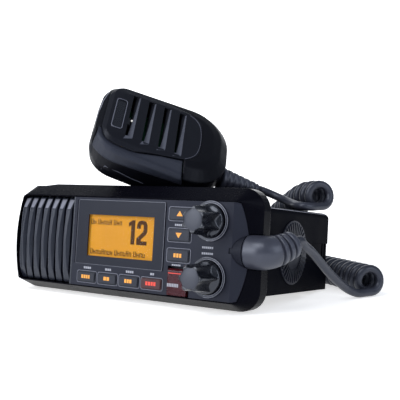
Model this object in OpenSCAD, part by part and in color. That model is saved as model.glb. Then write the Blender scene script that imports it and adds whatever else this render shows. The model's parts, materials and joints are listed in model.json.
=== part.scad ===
// Fixed-mount marine radio with a fist microphone on a curly cord.
// Millimetres. X to the right, Y away from the user, Z up.
// The radio is drawn square to itself, with its face plane at y = 0 and the foot of its front
// housing at z = 0, and then tips back until it rests on that foot and on its bottom cover.

/* [Front housing] */
// Width of the front housing
body_w = 174; // [170:1:182]
// Height of the front housing
body_h = 67; // [66:1:70]
// Depth of the front housing behind the face plane
housing_depth = 20; // [20:1:24]
// Radius of the four outer corners of the front housing
housing_corner = 12; // [9:1:14]
// Height of the small step in the top edge at the speaker's end
step_h = 1.3; // [0.8:0.1:1.6]
// Wall of the front housing
housing_wall = 2.4; // [2:0.1:2.8]

/* [Face] */
// Left edge of the face
face_left = -84; // [-84.6:0.1:-83.4]
// Right edge of the face, where its shoulder ends
face_right = 82; // [81.4:0.1:82.4]
// Lower edge of the face
face_bottom = 5.6; // [5.2:0.1:6]
// Upper edge of the face
face_top = 58.6; // [58.2:0.1:59.4]
// Radius of the bulge of the face's right end
right_bulge = 82; // [76:1:100]
// Radius of the bulge of the face's left end
left_bulge = 90; // [84:1:120]
// Where the flat of the face ends and its right shoulder begins
shoulder_x = 75; // [74.6:0.1:75.6]
// How far the shoulder runs back
shoulder_depth = 7; // [6:0.5:7.5]
// Thickness of the panel
panel_t = 2.6; // [2.2:0.1:2.8]
// Side clearance round the keys, covers and plates of the face
face_gap = 0.25; // [0.2:0.05:0.3]

/* [Speaker] */
// Width of the grille
grille_w = 48.6; // [48.2:0.1:49]
// Number of slats
slat_count = 7; // [5:1:7]
// Width of one slat
slat_w = 4.7; // [4:0.1:4.9]
// Radius of the speaker cone
cone_r = 20; // [18:0.5:20.5]

/* [Display] */
// Width of the window plate
window_w = 63.6; // [62:0.2:64]
// Height of the window plate
window_h = 38.2; // [37:0.2:38.2]
// Lower edge of the window plate
window_z = 18.8; // [18.6:0.1:19]
// Width of the lit area
screen_w = 48.2; // [44:0.2:50]
// Height of the lit area
screen_h = 24.6; // [22:0.2:26]
// Thickness of the window plate
window_t = 0.8; // [0.6:0.1:1]

/* [Keys] */
// Width of a key in the lower row
row_key_w = 14; // [12:0.2:14.2]
// Height of a key in the lower row
row_key_h = 6; // [5:0.2:6.2]
// Distance between two keys of the lower row
row_pitch = 15.9; // [15.8:0.1:16.2]
// Width of a key in the right column
side_key_w = 14.6; // [13:0.2:14.8]
// Height of a key in the right column
side_key_h = 6.8; // [6:0.2:7]
// Travel of a key
key_travel = 1; // [0.6:0.1:1]
// How far a key stands out of the face
key_proud = 1.2; // [1.1:0.1:1.6]

/* [Emergency key] */
// Width of the hinged cover
cover_w = 12.4; // [11:0.2:12.8]
// Height of the hinged cover
cover_h = 14; // [13:0.2:14.2]

/* [Knobs] */
// Distance of the knobs from the middle of the radio
knob_x = 61.5; // [61:0.1:62]
// Height of the upper knob
volume_z = 48; // [47.6:0.1:48.4]
// Height of the lower knob
squelch_z = 17.7; // [17.4:0.1:18]
// Radius of the skirt of a knob
knob_r = 8.9; // [8.4:0.1:9]
// How far a knob stands out of the face
knob_reach = 19.3; // [17:0.1:21]
// Number of finger flutes in a knob
flute_count = 6; // [5:1:8]
// Radius of the knob shafts
shaft_r = 3; // [2.5:0.1:3.2]

/* [Chassis] */
// How far each side of the chassis lies inside the side of the housing
chassis_inset = 1.5; // [1:0.1:2.5]
// Rear face of the chassis
chassis_rear = 110; // [104:1:120]
// Underside of the bottom cover
chassis_bottom = 8.8; // [8.6:0.1:9.2]
// How far the top of the chassis lies below the top of the housing
chassis_drop = 9; // [8.8:0.1:9.4]
// Wall of the chassis
chassis_wall = 2.6; // [2.2:0.1:3]
// Thickness of the bottom cover
cover_t = 2.5; // [2:0.1:2.8]
// Distance of the bracket bosses behind the face plane
boss_y = 55; // [50:1:60]
// Outer radius of a bracket boss
boss_r = 18.7; // [17:0.1:19]
// Number of teeth on a bracket boss
tooth_count = 36; // [24:4:40]
// Core radius of the bracket screw thread
bracket_hole_r = 2.1; // [2:0.05:2.3]

/* [Sockets] */
// Radius of the aerial socket's thread
aerial_r = 7.9; // [7.8:0.05:8]
// Length of the aerial socket behind the chassis
aerial_l = 13; // [11:1:16]

/* [Microphone] */
// Length of the microphone
mic_l = 85.5; // [84:0.5:87]
// Width of the microphone at its top end
mic_w = 61.2; // [60:0.2:62]
// Width of the microphone at its cord end
mic_end_w = 66; // [64:0.5:67]
// Height of the microphone's front above the middle of its side
mic_front = 9.8; // [9.6:0.1:10.2]
// Depth of the microphone's back below the middle of its side
mic_back = 22.4; // [21.4:0.1:22.4]
// Wall of the microphone's shells
mic_wall = 2.2; // [1.8:0.1:2.4]
// Length of the talk lever
talk_l = 54.6; // [52:0.2:56]
// Swing of the talk lever in degrees
talk_swing = 1.2; // [0.8:0.1:1.4]

/* [Cord] */
// Diameter of the cord
cord_d = 5.2; // [4.8:0.1:5.4]
// Outer diameter of the curls
curl_d = 18.6; // [18:0.1:18.8]
// Distance between two curls where the cord runs straight
curl_pitch = 5.9; // [5.8:0.1:6.2]

/* [Hidden] */
$fn = 48;

// Depths of the layers behind the face plane
lens_t = 1;
glass_t = 2;
key_flange_t = 0.8;
key_flange_lip = 0.9;
mat_y = 6;
mat_t = 1.2;
board_t = 1.6;
ledge_y = 9;
ledge_t = 2;
board_y = mat_y + mat_t;
glass_y = window_t + lens_t;
key_back_y = mat_y - key_travel - 0.2;
face_mid_z = (face_bottom + face_top) / 2;
grille_right = face_left + grille_w;
panel_left = grille_right + 0.3;
slat_left = face_left + 2.2;
slat_pitch = (grille_w - 5.2) / slat_count;
row_z = 11;
row_x = -22.9;
side_x = 41.8;
side_zs = [51, 39.3, 28.1];
window_x = panel_left + 2.7 + window_w / 2;
screen_x = 0;
screen_z = 36.1;
glass_w = screen_w + 6;
glass_h = screen_h + 4.4;

// Emergency key: a well in the panel, a hinged cover over it and the key on its floor
well_x = 42.4;
well_w = cover_w + 2;
well_top = 22.05;
well_floor_y = 3.4;
cover_hinge_y = 1;
cover_hinge_z = 19.2;
cover_pin_r = 0.6;
cover_barrel_r = 1.5;
distress_w = 8.4;
distress_h = 5.4;
distress_z = 11;

// Knobs
ring_in_r = knob_r + 0.5;
ring_out_r = knob_r + 2;
ring_proud = 1.2;
shaft_gap = 0.05;
control_w = 13;

// Chassis
chassis_w = body_w - 2 * chassis_inset;
chassis_top = body_h - chassis_drop;
step_x = -62;
step_ramp = 9;
rest_pitch = atan(chassis_bottom / (chassis_rear - housing_depth));
wall_z = chassis_bottom + cover_t;
flange_y = housing_depth - 3;
gasket_y = flange_y - 1;
cavity_w = body_w - 2 * housing_wall;
cavity_h = body_h - 2 * housing_wall;
cavity_corner = max(housing_corner - housing_wall, 4);
rear_wall_y = chassis_rear - 6;
boss_z = (wall_z + chassis_top) / 2 - 2;
boss_disc_t = 0.7;
tooth_t = 0.7;
port_y = 9.3;
port_z = 32.7;
collar_r = 9.2;
collar_x = [73.6, 80.3];
screw_x = 60;
screw_zs = [housing_wall + 3.5, body_h - housing_wall - 3.5];
aerial_x = -58;
aerial_z = 36;
power_x = -38;
data_x = -24;
gland_z = 43;
standoff_h = 6;
main_board_z = wall_z + standoff_h;
// The main board's room in front, behind and at its sides, and its screws' places from its edges
board_front = housing_depth + 6;
board_rear = chassis_rear - 12;
main_board_w = chassis_w - 31;
standoff_x = main_board_w / 2 - 4;
standoffs = [for (y = [board_front + 6, board_rear - 4], x = [-standoff_x, standoff_x]) [x, y]];
can_x = [-44, 8];
can_h = 9;
amplifier_x = [-36, 28];
amplifier_l = 11;
amplifier_h = 10;
recess_l = 40.6;
recess_h = 11.4;
panel_bosses = [[-30.4, 54.2], [-30.4, 16.9], [31.2, 54.4], [71.2, 11]];

// The frame: the middle of what the radio and the microphone cover on the bench
knob_tip_r = 6.4;
front_most = -knob_reach * cos(rest_pitch) + (squelch_z - knob_tip_r) * sin(rest_pitch);
rear_most = (chassis_rear + aerial_l) * cos(rest_pitch) + (aerial_z + aerial_r) * sin(rest_pitch);
foot_shift = housing_depth * (1 - cos(rest_pitch));
origin_y = (front_most + rear_most) / 2 + foot_shift;

// Microphone: x along it to its cord end, z out of its front, talk lever on its -y side
mic_at = [1.7, 44.3, body_h + 29.3];
mic_turn = [46, 19, 44.7];
mic_top_r = 19.6;
mic_end_r = 26.6;
split_z = 6.6;
split_gap = 0.2;
split_x = 22.8;
split_w = 22.7;
split_r = 14.4;
split_from = [-20.6, 28.1];
talk_z = [-4.4, 6.3];
// How much higher the lever's lower edge lies at its free end, and how far that end slants
talk_rise = 4.6;
talk_slant = 4.4;
mic_front_r = 14;
talk_x = -40.6;
talk_pin_at = [-32.5, -17.5];
talk_pin_r = 1;
// The lever's slot, and the room at its end for the lever's proud lip as it swings
talk_lip = 1.4;
talk_gap = 0.4;
talk_end_gap = talk_gap + (mic_end_w / 2 + talk_lip + talk_pin_at.y) * sin(talk_swing) + 0.1;
nameplate_at = [-31, -2.1];
nameplate = [5.4, 25.8];
louvre_xs = [-24.8, -14.4, -4, 6.4];
louvre_y = [-19.3, 19];
mouth_at = [-21.2, -2.9];
relief_at = [mic_l / 2 - 0.4, -8.7, -6.4];
relief_l = 29.9;
relief_ribs = 6;
relief_turn = [0, 8, 13.5];
mic_pcb_z = -3.6;
mic_pcb = [50, 36, 1.2];

// Cord, in bench coordinates: y from the radio's face plane, z from the bench
cord_r = cord_d / 2;
cord_sides = 8;
curl_sides = 6;
curl_rings = 8;
// A curl's corners stand a little outside its round, so that its sides average that round
curl_r = (curl_d / 2 - cord_r) / sqrt(cos(180 / curl_rings));
boot_route = [
    [80.3, 9.3, 32.7], [84, 9.3, 32.7], [88, 9.4, 32.7], [91, 11, 33], [93.4, 13.8, 33.8],
    [95.4, 17.2, 35], [97.3, 20.7, 36.6], [99, 24.1, 38.2]
];
boot_radii = [9.2, 9.2, 9.2, 9.2, 8.6, 8.3, 7.8, 7.2];
lead_route = [
    [101.6, 37.6, 36], [102.6, 45.8, 31.6], [103.6, 54.4, 25.8], [105.2, 64.4, 18.6],
    [107.2, 74.4, 12], [109.4, 83.2, 6.8], [112, 88.8, 3.9]
];
mic_route = [
    [53, 101.6, 60.4], [61.5, 99.8, 57.6], [69, 94.8, 56], [74.6, 89.8, 55.3], [79.2, 87.8, 54.9]
];
axis_route = [
    [119, 102, 9.7], [101, 115, 9.7], [80, 130, 9.7], [58, 145, 9.7], [34, 159, 9.7],
    [8, 168, 9.7], [-18, 169, 9.7], [-38, 160, 9.7], [-43, 146, 9.9], [-33, 134, 10.8],
    [-12, 131, 15.4], [12, 132.5, 25.4], [34, 132, 38.4], [52, 124.5, 50.8], [70, 112.4, 60],
    [86.4, 101, 61.5]
];
cord_clear = 0.4;

// ---------------------------------------------------------------- placing and outlines

module bench() {
    translate([0, housing_depth - origin_y, 0])
        rotate([-rest_pitch, 0, 0])
            translate([0, -housing_depth, 0])
                children();
}

function benched(p) =
    let (dy = p.y - housing_depth)
    [
        p.x,
        housing_depth + dy * cos(rest_pitch) + p.z * sin(rest_pitch),
        p.z * cos(rest_pitch) - dy * sin(rest_pitch)
    ];

module on_bench() {
    translate([0, -origin_y, 0])
        children();
}

module mic_frame() {
    on_bench()
        translate(mic_at)
            rotate(mic_turn)
                children();
}

// Extrudes an x-z outline from depth y0 to depth y1
module along_y(y0, y1) {
    translate([0, y1, 0])
        rotate([90, 0, 0])
            linear_extrude(y1 - y0)
                children();
}

// Extrudes a y-z outline from x0 to x1
module along_x(x0, x1) {
    translate([x0, 0, 0])
        rotate([90, 0, 90])
            linear_extrude(x1 - x0)
                children();
}

module rounded(w, h, r) {
    square([w - 2 * r, h], center = true);
    square([w, h - 2 * r], center = true);
    for (x = [-1, 1], y = [-1, 1])
        translate([x * (w / 2 - r), y * (h / 2 - r)])
            circle(r);
}

module ring(outer, inner) {
    difference() {
        circle(outer);
        circle(inner);
    }
}

module rod_y(x, z, r, y0, y1) {
    translate([x, y1, z])
        rotate([90, 0, 0])
            cylinder(h = y1 - y0, r = r);
}

module rod_x(y, z, r, x0, x1) {
    translate([x0, y, z])
        rotate([0, 90, 0])
            cylinder(h = x1 - x0, r = r);
}

// The outline of the whole face, whose two ends bulge a little
module face_outline(grow = 0) {
    w = face_right - face_left;
    h = face_top - face_bottom;
    intersection() {
        translate([(face_left + face_right) / 2, face_mid_z])
            rounded(w + 2 * grow, h + 2 * grow, 7 + grow);
        translate([face_right - right_bulge, face_mid_z]) {
            circle(right_bulge + grow, $fn = 180);
            translate([-body_w, -body_h])
                square([body_w, 2 * body_h]);
        }
        translate([face_left + left_bulge, face_mid_z]) {
            circle(left_bulge + grow, $fn = 180);
            translate([0, -body_h])
                square([body_w, 2 * body_h]);
        }
    }
}

// Where the cord passes out through the right shoulder
module cord_port() {
    rod_x(port_y, port_z, collar_r + 0.2, collar_x[0] - 0.4, body_w / 2 + 5);
    rod_x(port_y + 3, port_z, collar_r + 0.2, body_w / 2 - 2.5, body_w / 2 + 5);
}

// ---------------------------------------------------------------- swept tubes

function unit(v) = v / norm(v);
function flat(v, t) = unit(v - (v * t) * t);

// Directions along a route, each square to the ring there
function headings(route) =
    let (n = len(route))
    [
        for (i = [0 : n - 1])
            unit(i == 0 ? route[1] - route[0] : i == n - 1 ? route[n - 1] - route[n - 2]
                : unit(route[i + 1] - route[i]) + unit(route[i] - route[i - 1]))
    ];

// One side direction per ring, carried along the route without twisting
function sides_of(ts, first) = [
    for (i = 0, s = flat(first, ts[0]); i < len(ts);
        i = i + 1, s = i < len(ts) ? flat(s, ts[i]) : s) s
];

module tube(route, radii, sides, first = [0, 0, 1]) {
    ts = headings(route);
    us = sides_of(ts, first);
    n = len(route);
    rings = [
        for (i = [0 : n - 1])
            let (u = us[i], v = cross(ts[i], u))
            for (k = [0 : sides - 1])
                route[i] + radii[i] * (cos(k * 360 / sides) * u + sin(k * 360 / sides) * v)
    ];
    walls = [
        for (i = [0 : n - 2], k = [0 : sides - 1])
            let (a = i * sides + k, b = i * sides + (k + 1) % sides)
            for (face = [[a, a + sides, b], [b, a + sides, b + sides]]) face
    ];
    start = [for (k = [1 : sides - 2]) [0, k, k + 1]];
    last = (n - 1) * sides;
    end = [for (k = [1 : sides - 2]) [last, last + k + 1, last + k]];
    polyhedron(points = rings, faces = concat(start, walls, end), convexity = 10);
}

// A smooth curve through hand-chosen points
function spline_point(p, i, t) =
    let (
        n = len(p),
        a = p[max(i - 1, 0)], b = p[i], c = p[min(i + 1, n - 1)], d = p[min(i + 2, n - 1)]
    )
    0.5 * (2 * b + (c - a) * t + (2 * a - 5 * b + 4 * c - d) * t * t
        + (3 * b - a - 3 * c + d) * t * t * t);
function spline(p, steps) = [
    for (i = [0 : len(p) - 2], k = [0 : steps - 1]) spline_point(p, i, k / steps),
    p[len(p) - 1]
];

// ---------------------------------------------------------------- curly cord

axis_steps = 40;
axis_points = spline(axis_route, axis_steps);
axis_n = len(axis_points);
axis_dirs = headings(axis_points);

// How sharply the axis bends at a point
function bend(i) =
    i < 1 || i > axis_n - 2 ? 0
        : norm(axis_dirs[i + 1] - axis_dirs[i - 1]) / norm(axis_points[i + 1] - axis_points[i - 1]);
// The curls open where the axis bends, so that they clear each other on the inside
function turn_step(i) =
    360 * norm(axis_points[i + 1] - axis_points[i])
        * (1 - min(0.75, curl_r * max([for (k = [-4 : 4]) bend(min(max(i + k, 0), axis_n - 1))])))
        / curl_pitch;
turns = [
    for (i = 0, a = 0; i < axis_n; i = i + 1, a = a + (i < axis_n ? turn_step(i - 1) : 0)) a
];
curl_count = floor(turns[axis_n - 1] / 360);
turn_scale = curl_count * 360 / turns[axis_n - 1];

// The point of the axis at which a given turn is reached, and the curl's centreline there
function reach(a, low, high) =
    high - low <= 1 ? low
        : let (mid = floor((low + high) / 2))
          turns[mid] * turn_scale <= a ? reach(a, mid, high) : reach(a, low, mid);
function curl_at(a) =
    let (
        i = min(reach(a, 0, axis_n - 1), axis_n - 2),
        f = (a - turns[i] * turn_scale) / ((turns[i + 1] - turns[i]) * turn_scale),
        c = axis_points[i] * (1 - f) + axis_points[i + 1] * f,
        t = unit(axis_dirs[i] * (1 - f) + axis_dirs[i + 1] * f),
        across = unit(cross(t, [0, 0, 1])),
        up = cross(across, t)
    )
    c + curl_r * (sin(a) * across - cos(a) * up);
curl_line = [
    for (k = [0 : curl_count * curl_rings]) curl_at(k * 360 / curl_rings)
];
function level(v) = unit([v.x, v.y, 0]);
curl_start_dir = level(curl_at(6) - curl_at(0));
curl_end_dir = level(curl_at(curl_count * 360) - curl_at(curl_count * 360 - 6));
curl_start = curl_line[0] - cord_d * curl_start_dir;
curl_end = curl_line[len(curl_line) - 1] + cord_d * curl_end_dir;
curl_route = concat([curl_start], curl_line, [curl_end]);
curl_gap = min([
    for (i = [0 : 3 : len(curl_line) - 1], j = [i + 5 : 1 : len(curl_line) - 1])
        norm(curl_line[i] - curl_line[j])
]) - cord_d;
echo(curls = curl_count, least_gap_to_itself = curl_gap, origin_y = origin_y, pitch = rest_pitch);
assert(curl_gap > cord_clear);

module curly_cord() {
    color("#26282b")
        on_bench()
            tube(curl_route, [for (p = curl_route) cord_r], curl_sides);
}

module cord_lead() {
    boot_end = benched(boot_route[len(boot_route) - 1]);
    boot_dir = unit(boot_end - benched(boot_route[len(boot_route) - 2]));
    route = concat([boot_end, boot_end + cord_d * boot_dir], lead_route,
        [curl_start - cord_d * curl_start_dir, curl_start]);
    color("#26282b")
        on_bench()
            tube(route, [for (p = route) cord_r], cord_sides);
}

// Where the cord leaves the microphone's strain relief, in bench coordinates
function turned(p, a) =
    let (
        q = [p.x, p.y * cos(a.x) - p.z * sin(a.x), p.y * sin(a.x) + p.z * cos(a.x)],
        r = [q.x * cos(a.y) + q.z * sin(a.y), q.y, q.z * cos(a.y) - q.x * sin(a.y)]
    )
    [r.x * cos(a.z) - r.y * sin(a.z), r.x * sin(a.z) + r.y * cos(a.z), r.z];
relief_dir = turned(turned([1, 0, 0], relief_turn), mic_turn);
relief_end = mic_at + turned(relief_at + turned([relief_l, 0, 0], relief_turn), mic_turn);

module mic_lead() {
    between = concat([relief_end + cord_d * relief_dir], mic_route,
        [curl_end + cord_d * curl_end_dir]);
    route = concat([relief_end], spline(between, 2), [curl_end]);
    color("#26282b")
        on_bench()
            tube(route, [for (p = route) cord_r], cord_sides);
}

module cord_boot() {
    color("#3c4046")
        bench()
            tube(boot_route, boot_radii, 20);
}

module cord_collar() {
    color("#4a4e54")
        bench()
            difference() {
                rod_x(port_y, port_z, collar_r, collar_x[0], collar_x[1]);
                rod_x(port_y, port_z, 4, collar_x[0] - 1, collar_x[1] - 2);
            }
}

// ---------------------------------------------------------------- front housing and panel

module housing_form() {
    hull() {
        along_y(1, 1.4)
            intersection() {
                face_outline(0.8, $fn = 32);
                translate([shoulder_x + 1 - 200, 0])
                    square([200, body_h]);
            }
        along_y(shoulder_depth + 0.4, shoulder_depth + 0.8)
            face_outline(1.2, $fn = 32);
        along_y(12, housing_depth)
            translate([0, body_h / 2])
                rounded(body_w, body_h, housing_corner, $fn = 32);
    }
}

module front_housing() {
    post_back = gasket_y;
    color("#17181b")
        bench() {
            difference() {
                housing_form();
                along_y(-1, ledge_y)
                    face_outline(0.2);
                along_y(ledge_y - 1, ledge_y + ledge_t + 1)
                    face_outline(-2.2);
                along_y(ledge_y + ledge_t, housing_depth + 1)
                    translate([0, body_h / 2])
                        rounded(cavity_w, cavity_h, cavity_corner);
                cord_port();
                // The top edge steps down towards the speaker's end
                along_y(-1, housing_depth + 1)
                    polygon([
                        [-body_w, body_h - step_h], [step_x - step_ramp, body_h - step_h],
                        [step_x, body_h], [step_x, body_h + 5], [-body_w, body_h + 5]
                    ]);
            }
            for (x = [-screw_x, screw_x], z = screw_zs)
                difference() {
                    rod_y(x, z, 3.7, ledge_y + ledge_t - 0.5, post_back);
                    rod_y(x, z, 1.25, ledge_y + ledge_t + 0.5, post_back + 1);
                }
        }
}

module panel_form() {
    inner_x = shoulder_x - 0.9;
    difference() {
        intersection() {
            along_y(0, ledge_y)
                face_outline();
            linear_extrude(body_h)
                polygon([
                    [panel_left, 0], [shoulder_x, 0], [shoulder_x + 8, shoulder_depth + 0.2],
                    [shoulder_x + 8, ledge_y], [panel_left, ledge_y]
                ]);
        }
        intersection() {
            along_y(panel_t, ledge_y + 1)
                face_outline(-1.4);
            linear_extrude(body_h)
                polygon([
                    [panel_left + 2.2, panel_t], [inner_x, panel_t], [inner_x + 8, ledge_y],
                    [inner_x + 8, ledge_y + 2], [panel_left + 2.2, ledge_y + 2]
                ]);
        }
    }
}

module front_panel() {
    color("#4b4f57")
        bench()
            difference() {
                union() {
                    panel_form();
                    along_y(panel_t - 0.2, well_floor_y + 0.8)
                        translate([well_x, (face_bottom + 1 + well_top + 1.6) / 2])
                            square([well_w + 3.2, well_top - face_bottom + 0.6], center = true);
                    for (p = panel_bosses)
                        rod_y(p.x, p.y, 2.1, panel_t - 0.2, board_y);
                }
                along_y(-1, window_t)
                    translate([window_x, window_z + window_h / 2])
                        rounded(window_w + 2, window_h + 2 * face_gap, 1);
                along_y(-1, panel_t + 1)
                    translate([screen_x, screen_z])
                        square([glass_w + 0.6, glass_h + 0.6], center = true);
                for (i = [0 : 3])
                    key_hole(row_x + i * row_pitch, row_z, row_key_w, row_key_h);
                for (z = side_zs)
                    key_hole(side_x, z, side_key_w, side_key_h);
                along_y(-1, well_floor_y)
                    translate([well_x - well_w / 2, face_bottom - 1])
                        square([well_w, well_top - face_bottom + 1]);
                key_hole(well_x, distress_z, distress_w, distress_h);
                rod_x(cover_hinge_y, cover_hinge_z, cover_pin_r,
                    well_x - well_w / 2 - 1.4, well_x + well_w / 2 + 1.4);
                for (z = [volume_z, squelch_z])
                    rod_y(knob_x, z, shaft_r + 0.7, -1, panel_t + 1);
                for (p = panel_bosses)
                    rod_y(p.x, p.y, 0.8, panel_t + 0.6, board_y + 1);
                cord_port();
            }
}

module key_hole(x, z, w, h) {
    along_y(-1, well_floor_y + 2)
        translate([x, z])
            rounded(w + 2 * face_gap, h + 2 * face_gap, 1.2);
}

// ---------------------------------------------------------------- speaker

speaker_x = grille_right - grille_w / 2 + 0.6;
speaker_z = face_mid_z;

module grille_region() {
    intersection() {
        face_outline();
        translate([face_left - 1, 0])
            square([grille_w + 1, body_h]);
    }
}

module slat(i) {
    x = slat_left + slat_pitch * (i + 0.5);
    // The slat at the left end stands a little further back
    back = i == 0 ? 0.5 : 0;
    intersection() {
        along_x(x - slat_w / 2, x + slat_w / 2)
            translate([back, 0])
                polygon([
                    [7, face_bottom], [3.4, face_bottom + 0.6], [0.7, face_bottom + 8],
                    [-0.3, face_bottom + 17], [-0.7, face_mid_z], [-0.3, face_top - 17],
                    [0.6, face_top - 8], [4.4, face_top - 0.6], [7, face_top]
                ]);
        linear_extrude(body_h)
            translate([x, 0])
                polygon([
                    [-slat_w / 2, 7], [-slat_w / 2, 2.6 + back], [-slat_w / 2 + 1.3, back - 0.6],
                    [0.3, back - 1], [slat_w / 2, 1.4 + back], [slat_w / 2, 7]
                ]);
    }
}

module speaker_grille() {
    color("#3a3d44")
        bench()
            difference() {
                intersection() {
                    along_y(-2, ledge_y)
                        grille_region();
                    union() {
                        for (i = [0 : slat_count - 1])
                            slat(i);
                        along_y(6.5, ledge_y)
                            translate([face_left - 1, 0])
                                square([grille_w + 1, body_h]);
                        translate([grille_right - 1.3, 0.2, 0])
                            cube([1.3, ledge_y, body_h]);
                    }
                }
                along_y(6.9, ledge_y + 1)
                    translate([speaker_x, speaker_z])
                        circle(cone_r);
                for (i = [1 : slat_count - 1])
                    along_y(-3, ledge_y + 1)
                        translate([slat_left + slat_pitch * i, speaker_z])
                            square([slat_pitch - slat_w, 1.5 * cone_r], center = true);
            }
}

module speaker_cloth() {
    color("#0c0d0f")
        bench()
            along_y(ledge_y, ledge_y + 0.4)
                translate([speaker_x, speaker_z])
                    circle(cone_r + 2.4);
}

module speaker_gasket() {
    color("#1a1a1a")
        bench()
            along_y(ledge_y + 0.4, ledge_y + 1.4)
                translate([speaker_x, speaker_z])
                    ring(cone_r + 2.4, cone_r);
}

module speaker_turned() {
    bench()
        translate([speaker_x, 0, speaker_z])
            rotate([-90, 0, 0])
                rotate_extrude()
                    children();
}

module speaker_basket() {
    y = ledge_y + 1.4;
    color("#85888c")
        speaker_turned()
            polygon([
                [cone_r - 1.5, y], [cone_r + 2.2, y], [cone_r + 2.2, y + 1], [cone_r - 0.4, y + 1],
                [11.4, y + 9], [5, y + 9], [5, y + 8], [10.8, y + 8]
            ]);
}

module speaker_cone() {
    y = ledge_y + 1.4;
    color("#2a2622")
        speaker_turned()
            polygon([
                [cone_r - 2.3, y + 0.2], [cone_r - 1.8, y + 0.2], [4.6, y + 6.4], [0, y + 4.4],
                [0, y + 4], [4.6, y + 6]
            ]);
}

module speaker_magnet() {
    y = ledge_y + 10.4;
    color("#6a6d70")
        bench()
            rod_y(speaker_x, speaker_z, 11.4, y, y + 6);
}

// ---------------------------------------------------------------- display and boards

module display_window() {
    color("#5a5e66")
        bench()
            along_y(0, window_t)
                difference() {
                    translate([window_x, window_z + window_h / 2])
                        rounded(window_w, window_h, 0.8);
                    translate([screen_x, screen_z])
                        square([screen_w, screen_h], center = true);
                }
}

module screen_plate(y0, y1, w, h) {
    bench()
        along_y(y0, y1)
            translate([screen_x, screen_z])
                square([w, h], center = true);
}

module display_lens() {
    color("#c9d4da", 0.4)
        screen_plate(window_t, glass_y, glass_w, glass_h);
}

module display_glass() {
    color("#d9a441")
        screen_plate(glass_y, glass_y + glass_t, glass_w, glass_h);
}

module backlight() {
    color("#e8e4da")
        screen_plate(glass_y + glass_t, board_y, glass_w, glass_h);
}

module key_mat() {
    color("#2b2d31")
        bench()
            along_y(mat_y, board_y)
                difference() {
                    union() {
                        translate([row_x - 9, row_z - 4.4 + 0.6])
                            square([3 * row_pitch + 18, 8]);
                        translate([side_x - 9, row_z - 3.8])
                            square([18, 48]);
                    }
                    for (p = panel_bosses)
                        translate(p)
                            circle(2.5);
                }
}

module front_board() {
    color("#1f5a3a")
        bench()
            difference() {
                along_y(board_y, board_y + board_t)
                    translate([panel_left + 2.6, face_bottom + 2.8])
                        square([shoulder_x - panel_left - 4.8, face_top - face_bottom - 5.8]);
                for (p = panel_bosses)
                    rod_y(p.x, p.y, 1.1, board_y - 1, board_y + board_t + 1);
            }
}

// ---------------------------------------------------------------- keys

module key(x, z, w, h, back) {
    bench()
        translate([x, 0, z]) {
            along_y(-key_proud + 0.5, back)
                rounded(w, h, 1);
            along_y(-key_proud, -key_proud + 0.6)
                rounded(w - 1, h - 1, 0.9);
            along_y(panel_t + 0.2, panel_t + 0.2 + key_flange_t)
                rounded(w + 2 * key_flange_lip, h + 1.4, 0.6);
        }
}

module row_key(i) {
    color(i == 3 ? "#6b2a24" : "#33363c")
        key(row_x + i * row_pitch, row_z, row_key_w, row_key_h, key_back_y);
}

module side_key(i) {
    color("#33363c")
        key(side_x, side_zs[i], side_key_w, side_key_h, key_back_y);
}

module distress_cover() {
    low_z = cover_hinge_z - cover_h + 0.9;
    color("#7e1f1f", 0.8)
        bench()
            difference() {
                union() {
                    along_y(-1.4, -0.4)
                        translate([well_x - cover_w / 2, low_z])
                            square([cover_w, cover_hinge_z - low_z]);
                    rod_x(cover_hinge_y - 0.6, cover_hinge_z - 0.2, cover_barrel_r + 0.3,
                        well_x - cover_w / 2, well_x + cover_w / 2);
                    for (x = [-cover_w / 2, cover_w / 2 - 0.9])
                        translate([well_x + x, -1.4, low_z])
                            cube([0.9, 2.6, cover_hinge_z - low_z]);
                }
                rod_x(cover_hinge_y, cover_hinge_z, cover_pin_r + shaft_gap,
                    well_x - well_w, well_x + well_w);
            }
}

module distress_pin() {
    color("#b8bcc0")
        bench()
            rod_x(cover_hinge_y, cover_hinge_z, cover_pin_r,
                well_x - well_w / 2 - 1.4, well_x + well_w / 2 + 1.4);
}

module distress_key() {
    back = well_floor_y + 1.6;
    color("#b3241f")
        bench()
            translate([well_x, 0, distress_z]) {
                along_y(1.6, back)
                    rounded(distress_w, distress_h, 1);
                along_y(well_floor_y + 1, back)
                    translate([0, 0.3])
                        rounded(distress_w + 1.6, distress_h + 1, 0.6);
            }
}

// ---------------------------------------------------------------- knobs

module knob_rings() {
    color("#5d6168")
        bench()
            for (z = [volume_z, squelch_z])
                along_y(-ring_proud, 0)
                    translate([knob_x, z])
                        ring(ring_out_r, ring_in_r);
}

module knob(z) {
    dish = 1.4;
    flute_r = 3.6;
    color("#3b3e45")
        bench()
            translate([knob_x, 0, z])
                difference() {
                    rotate([90, 0, 0])
                        rotate_extrude()
                            polygon([
                                [0, 0.4], [knob_r, 0.4], [knob_r, 3.4], [knob_r - 0.6, 4.2],
                                [knob_r - 1.5, knob_reach - 3.4], [knob_r - 2.1, knob_reach - 0.8],
                                [knob_tip_r, knob_reach], [knob_tip_r - 1, knob_reach],
                                [knob_tip_r - 1.8, knob_reach - dish + 0.4], [0, knob_reach - dish]
                            ]);
                    for (i = [0 : flute_count - 1])
                        rotate([0, i * 360 / flute_count + 30, 0])
                            rod_y(knob_r + 1.2, 0, flute_r, -knob_reach - 1, -5);
                    rod_y(0, 0, shaft_r, -13, 1);
                }
}

module shaft(z) {
    color("#a8acb0")
        bench()
            rod_y(knob_x, z, shaft_r, -13, 6.6);
}

module control(z) {
    color("#8d9096")
        bench()
            difference() {
                union() {
                    rod_y(knob_x, z, shaft_r + 0.6, -0.2, panel_t);
                    along_y(panel_t, board_y)
                        translate([knob_x, z])
                            square(control_w, center = true);
                }
                rod_y(knob_x, z, shaft_r + shaft_gap, -1, 6.8);
            }
}

// ---------------------------------------------------------------- chassis

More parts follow.
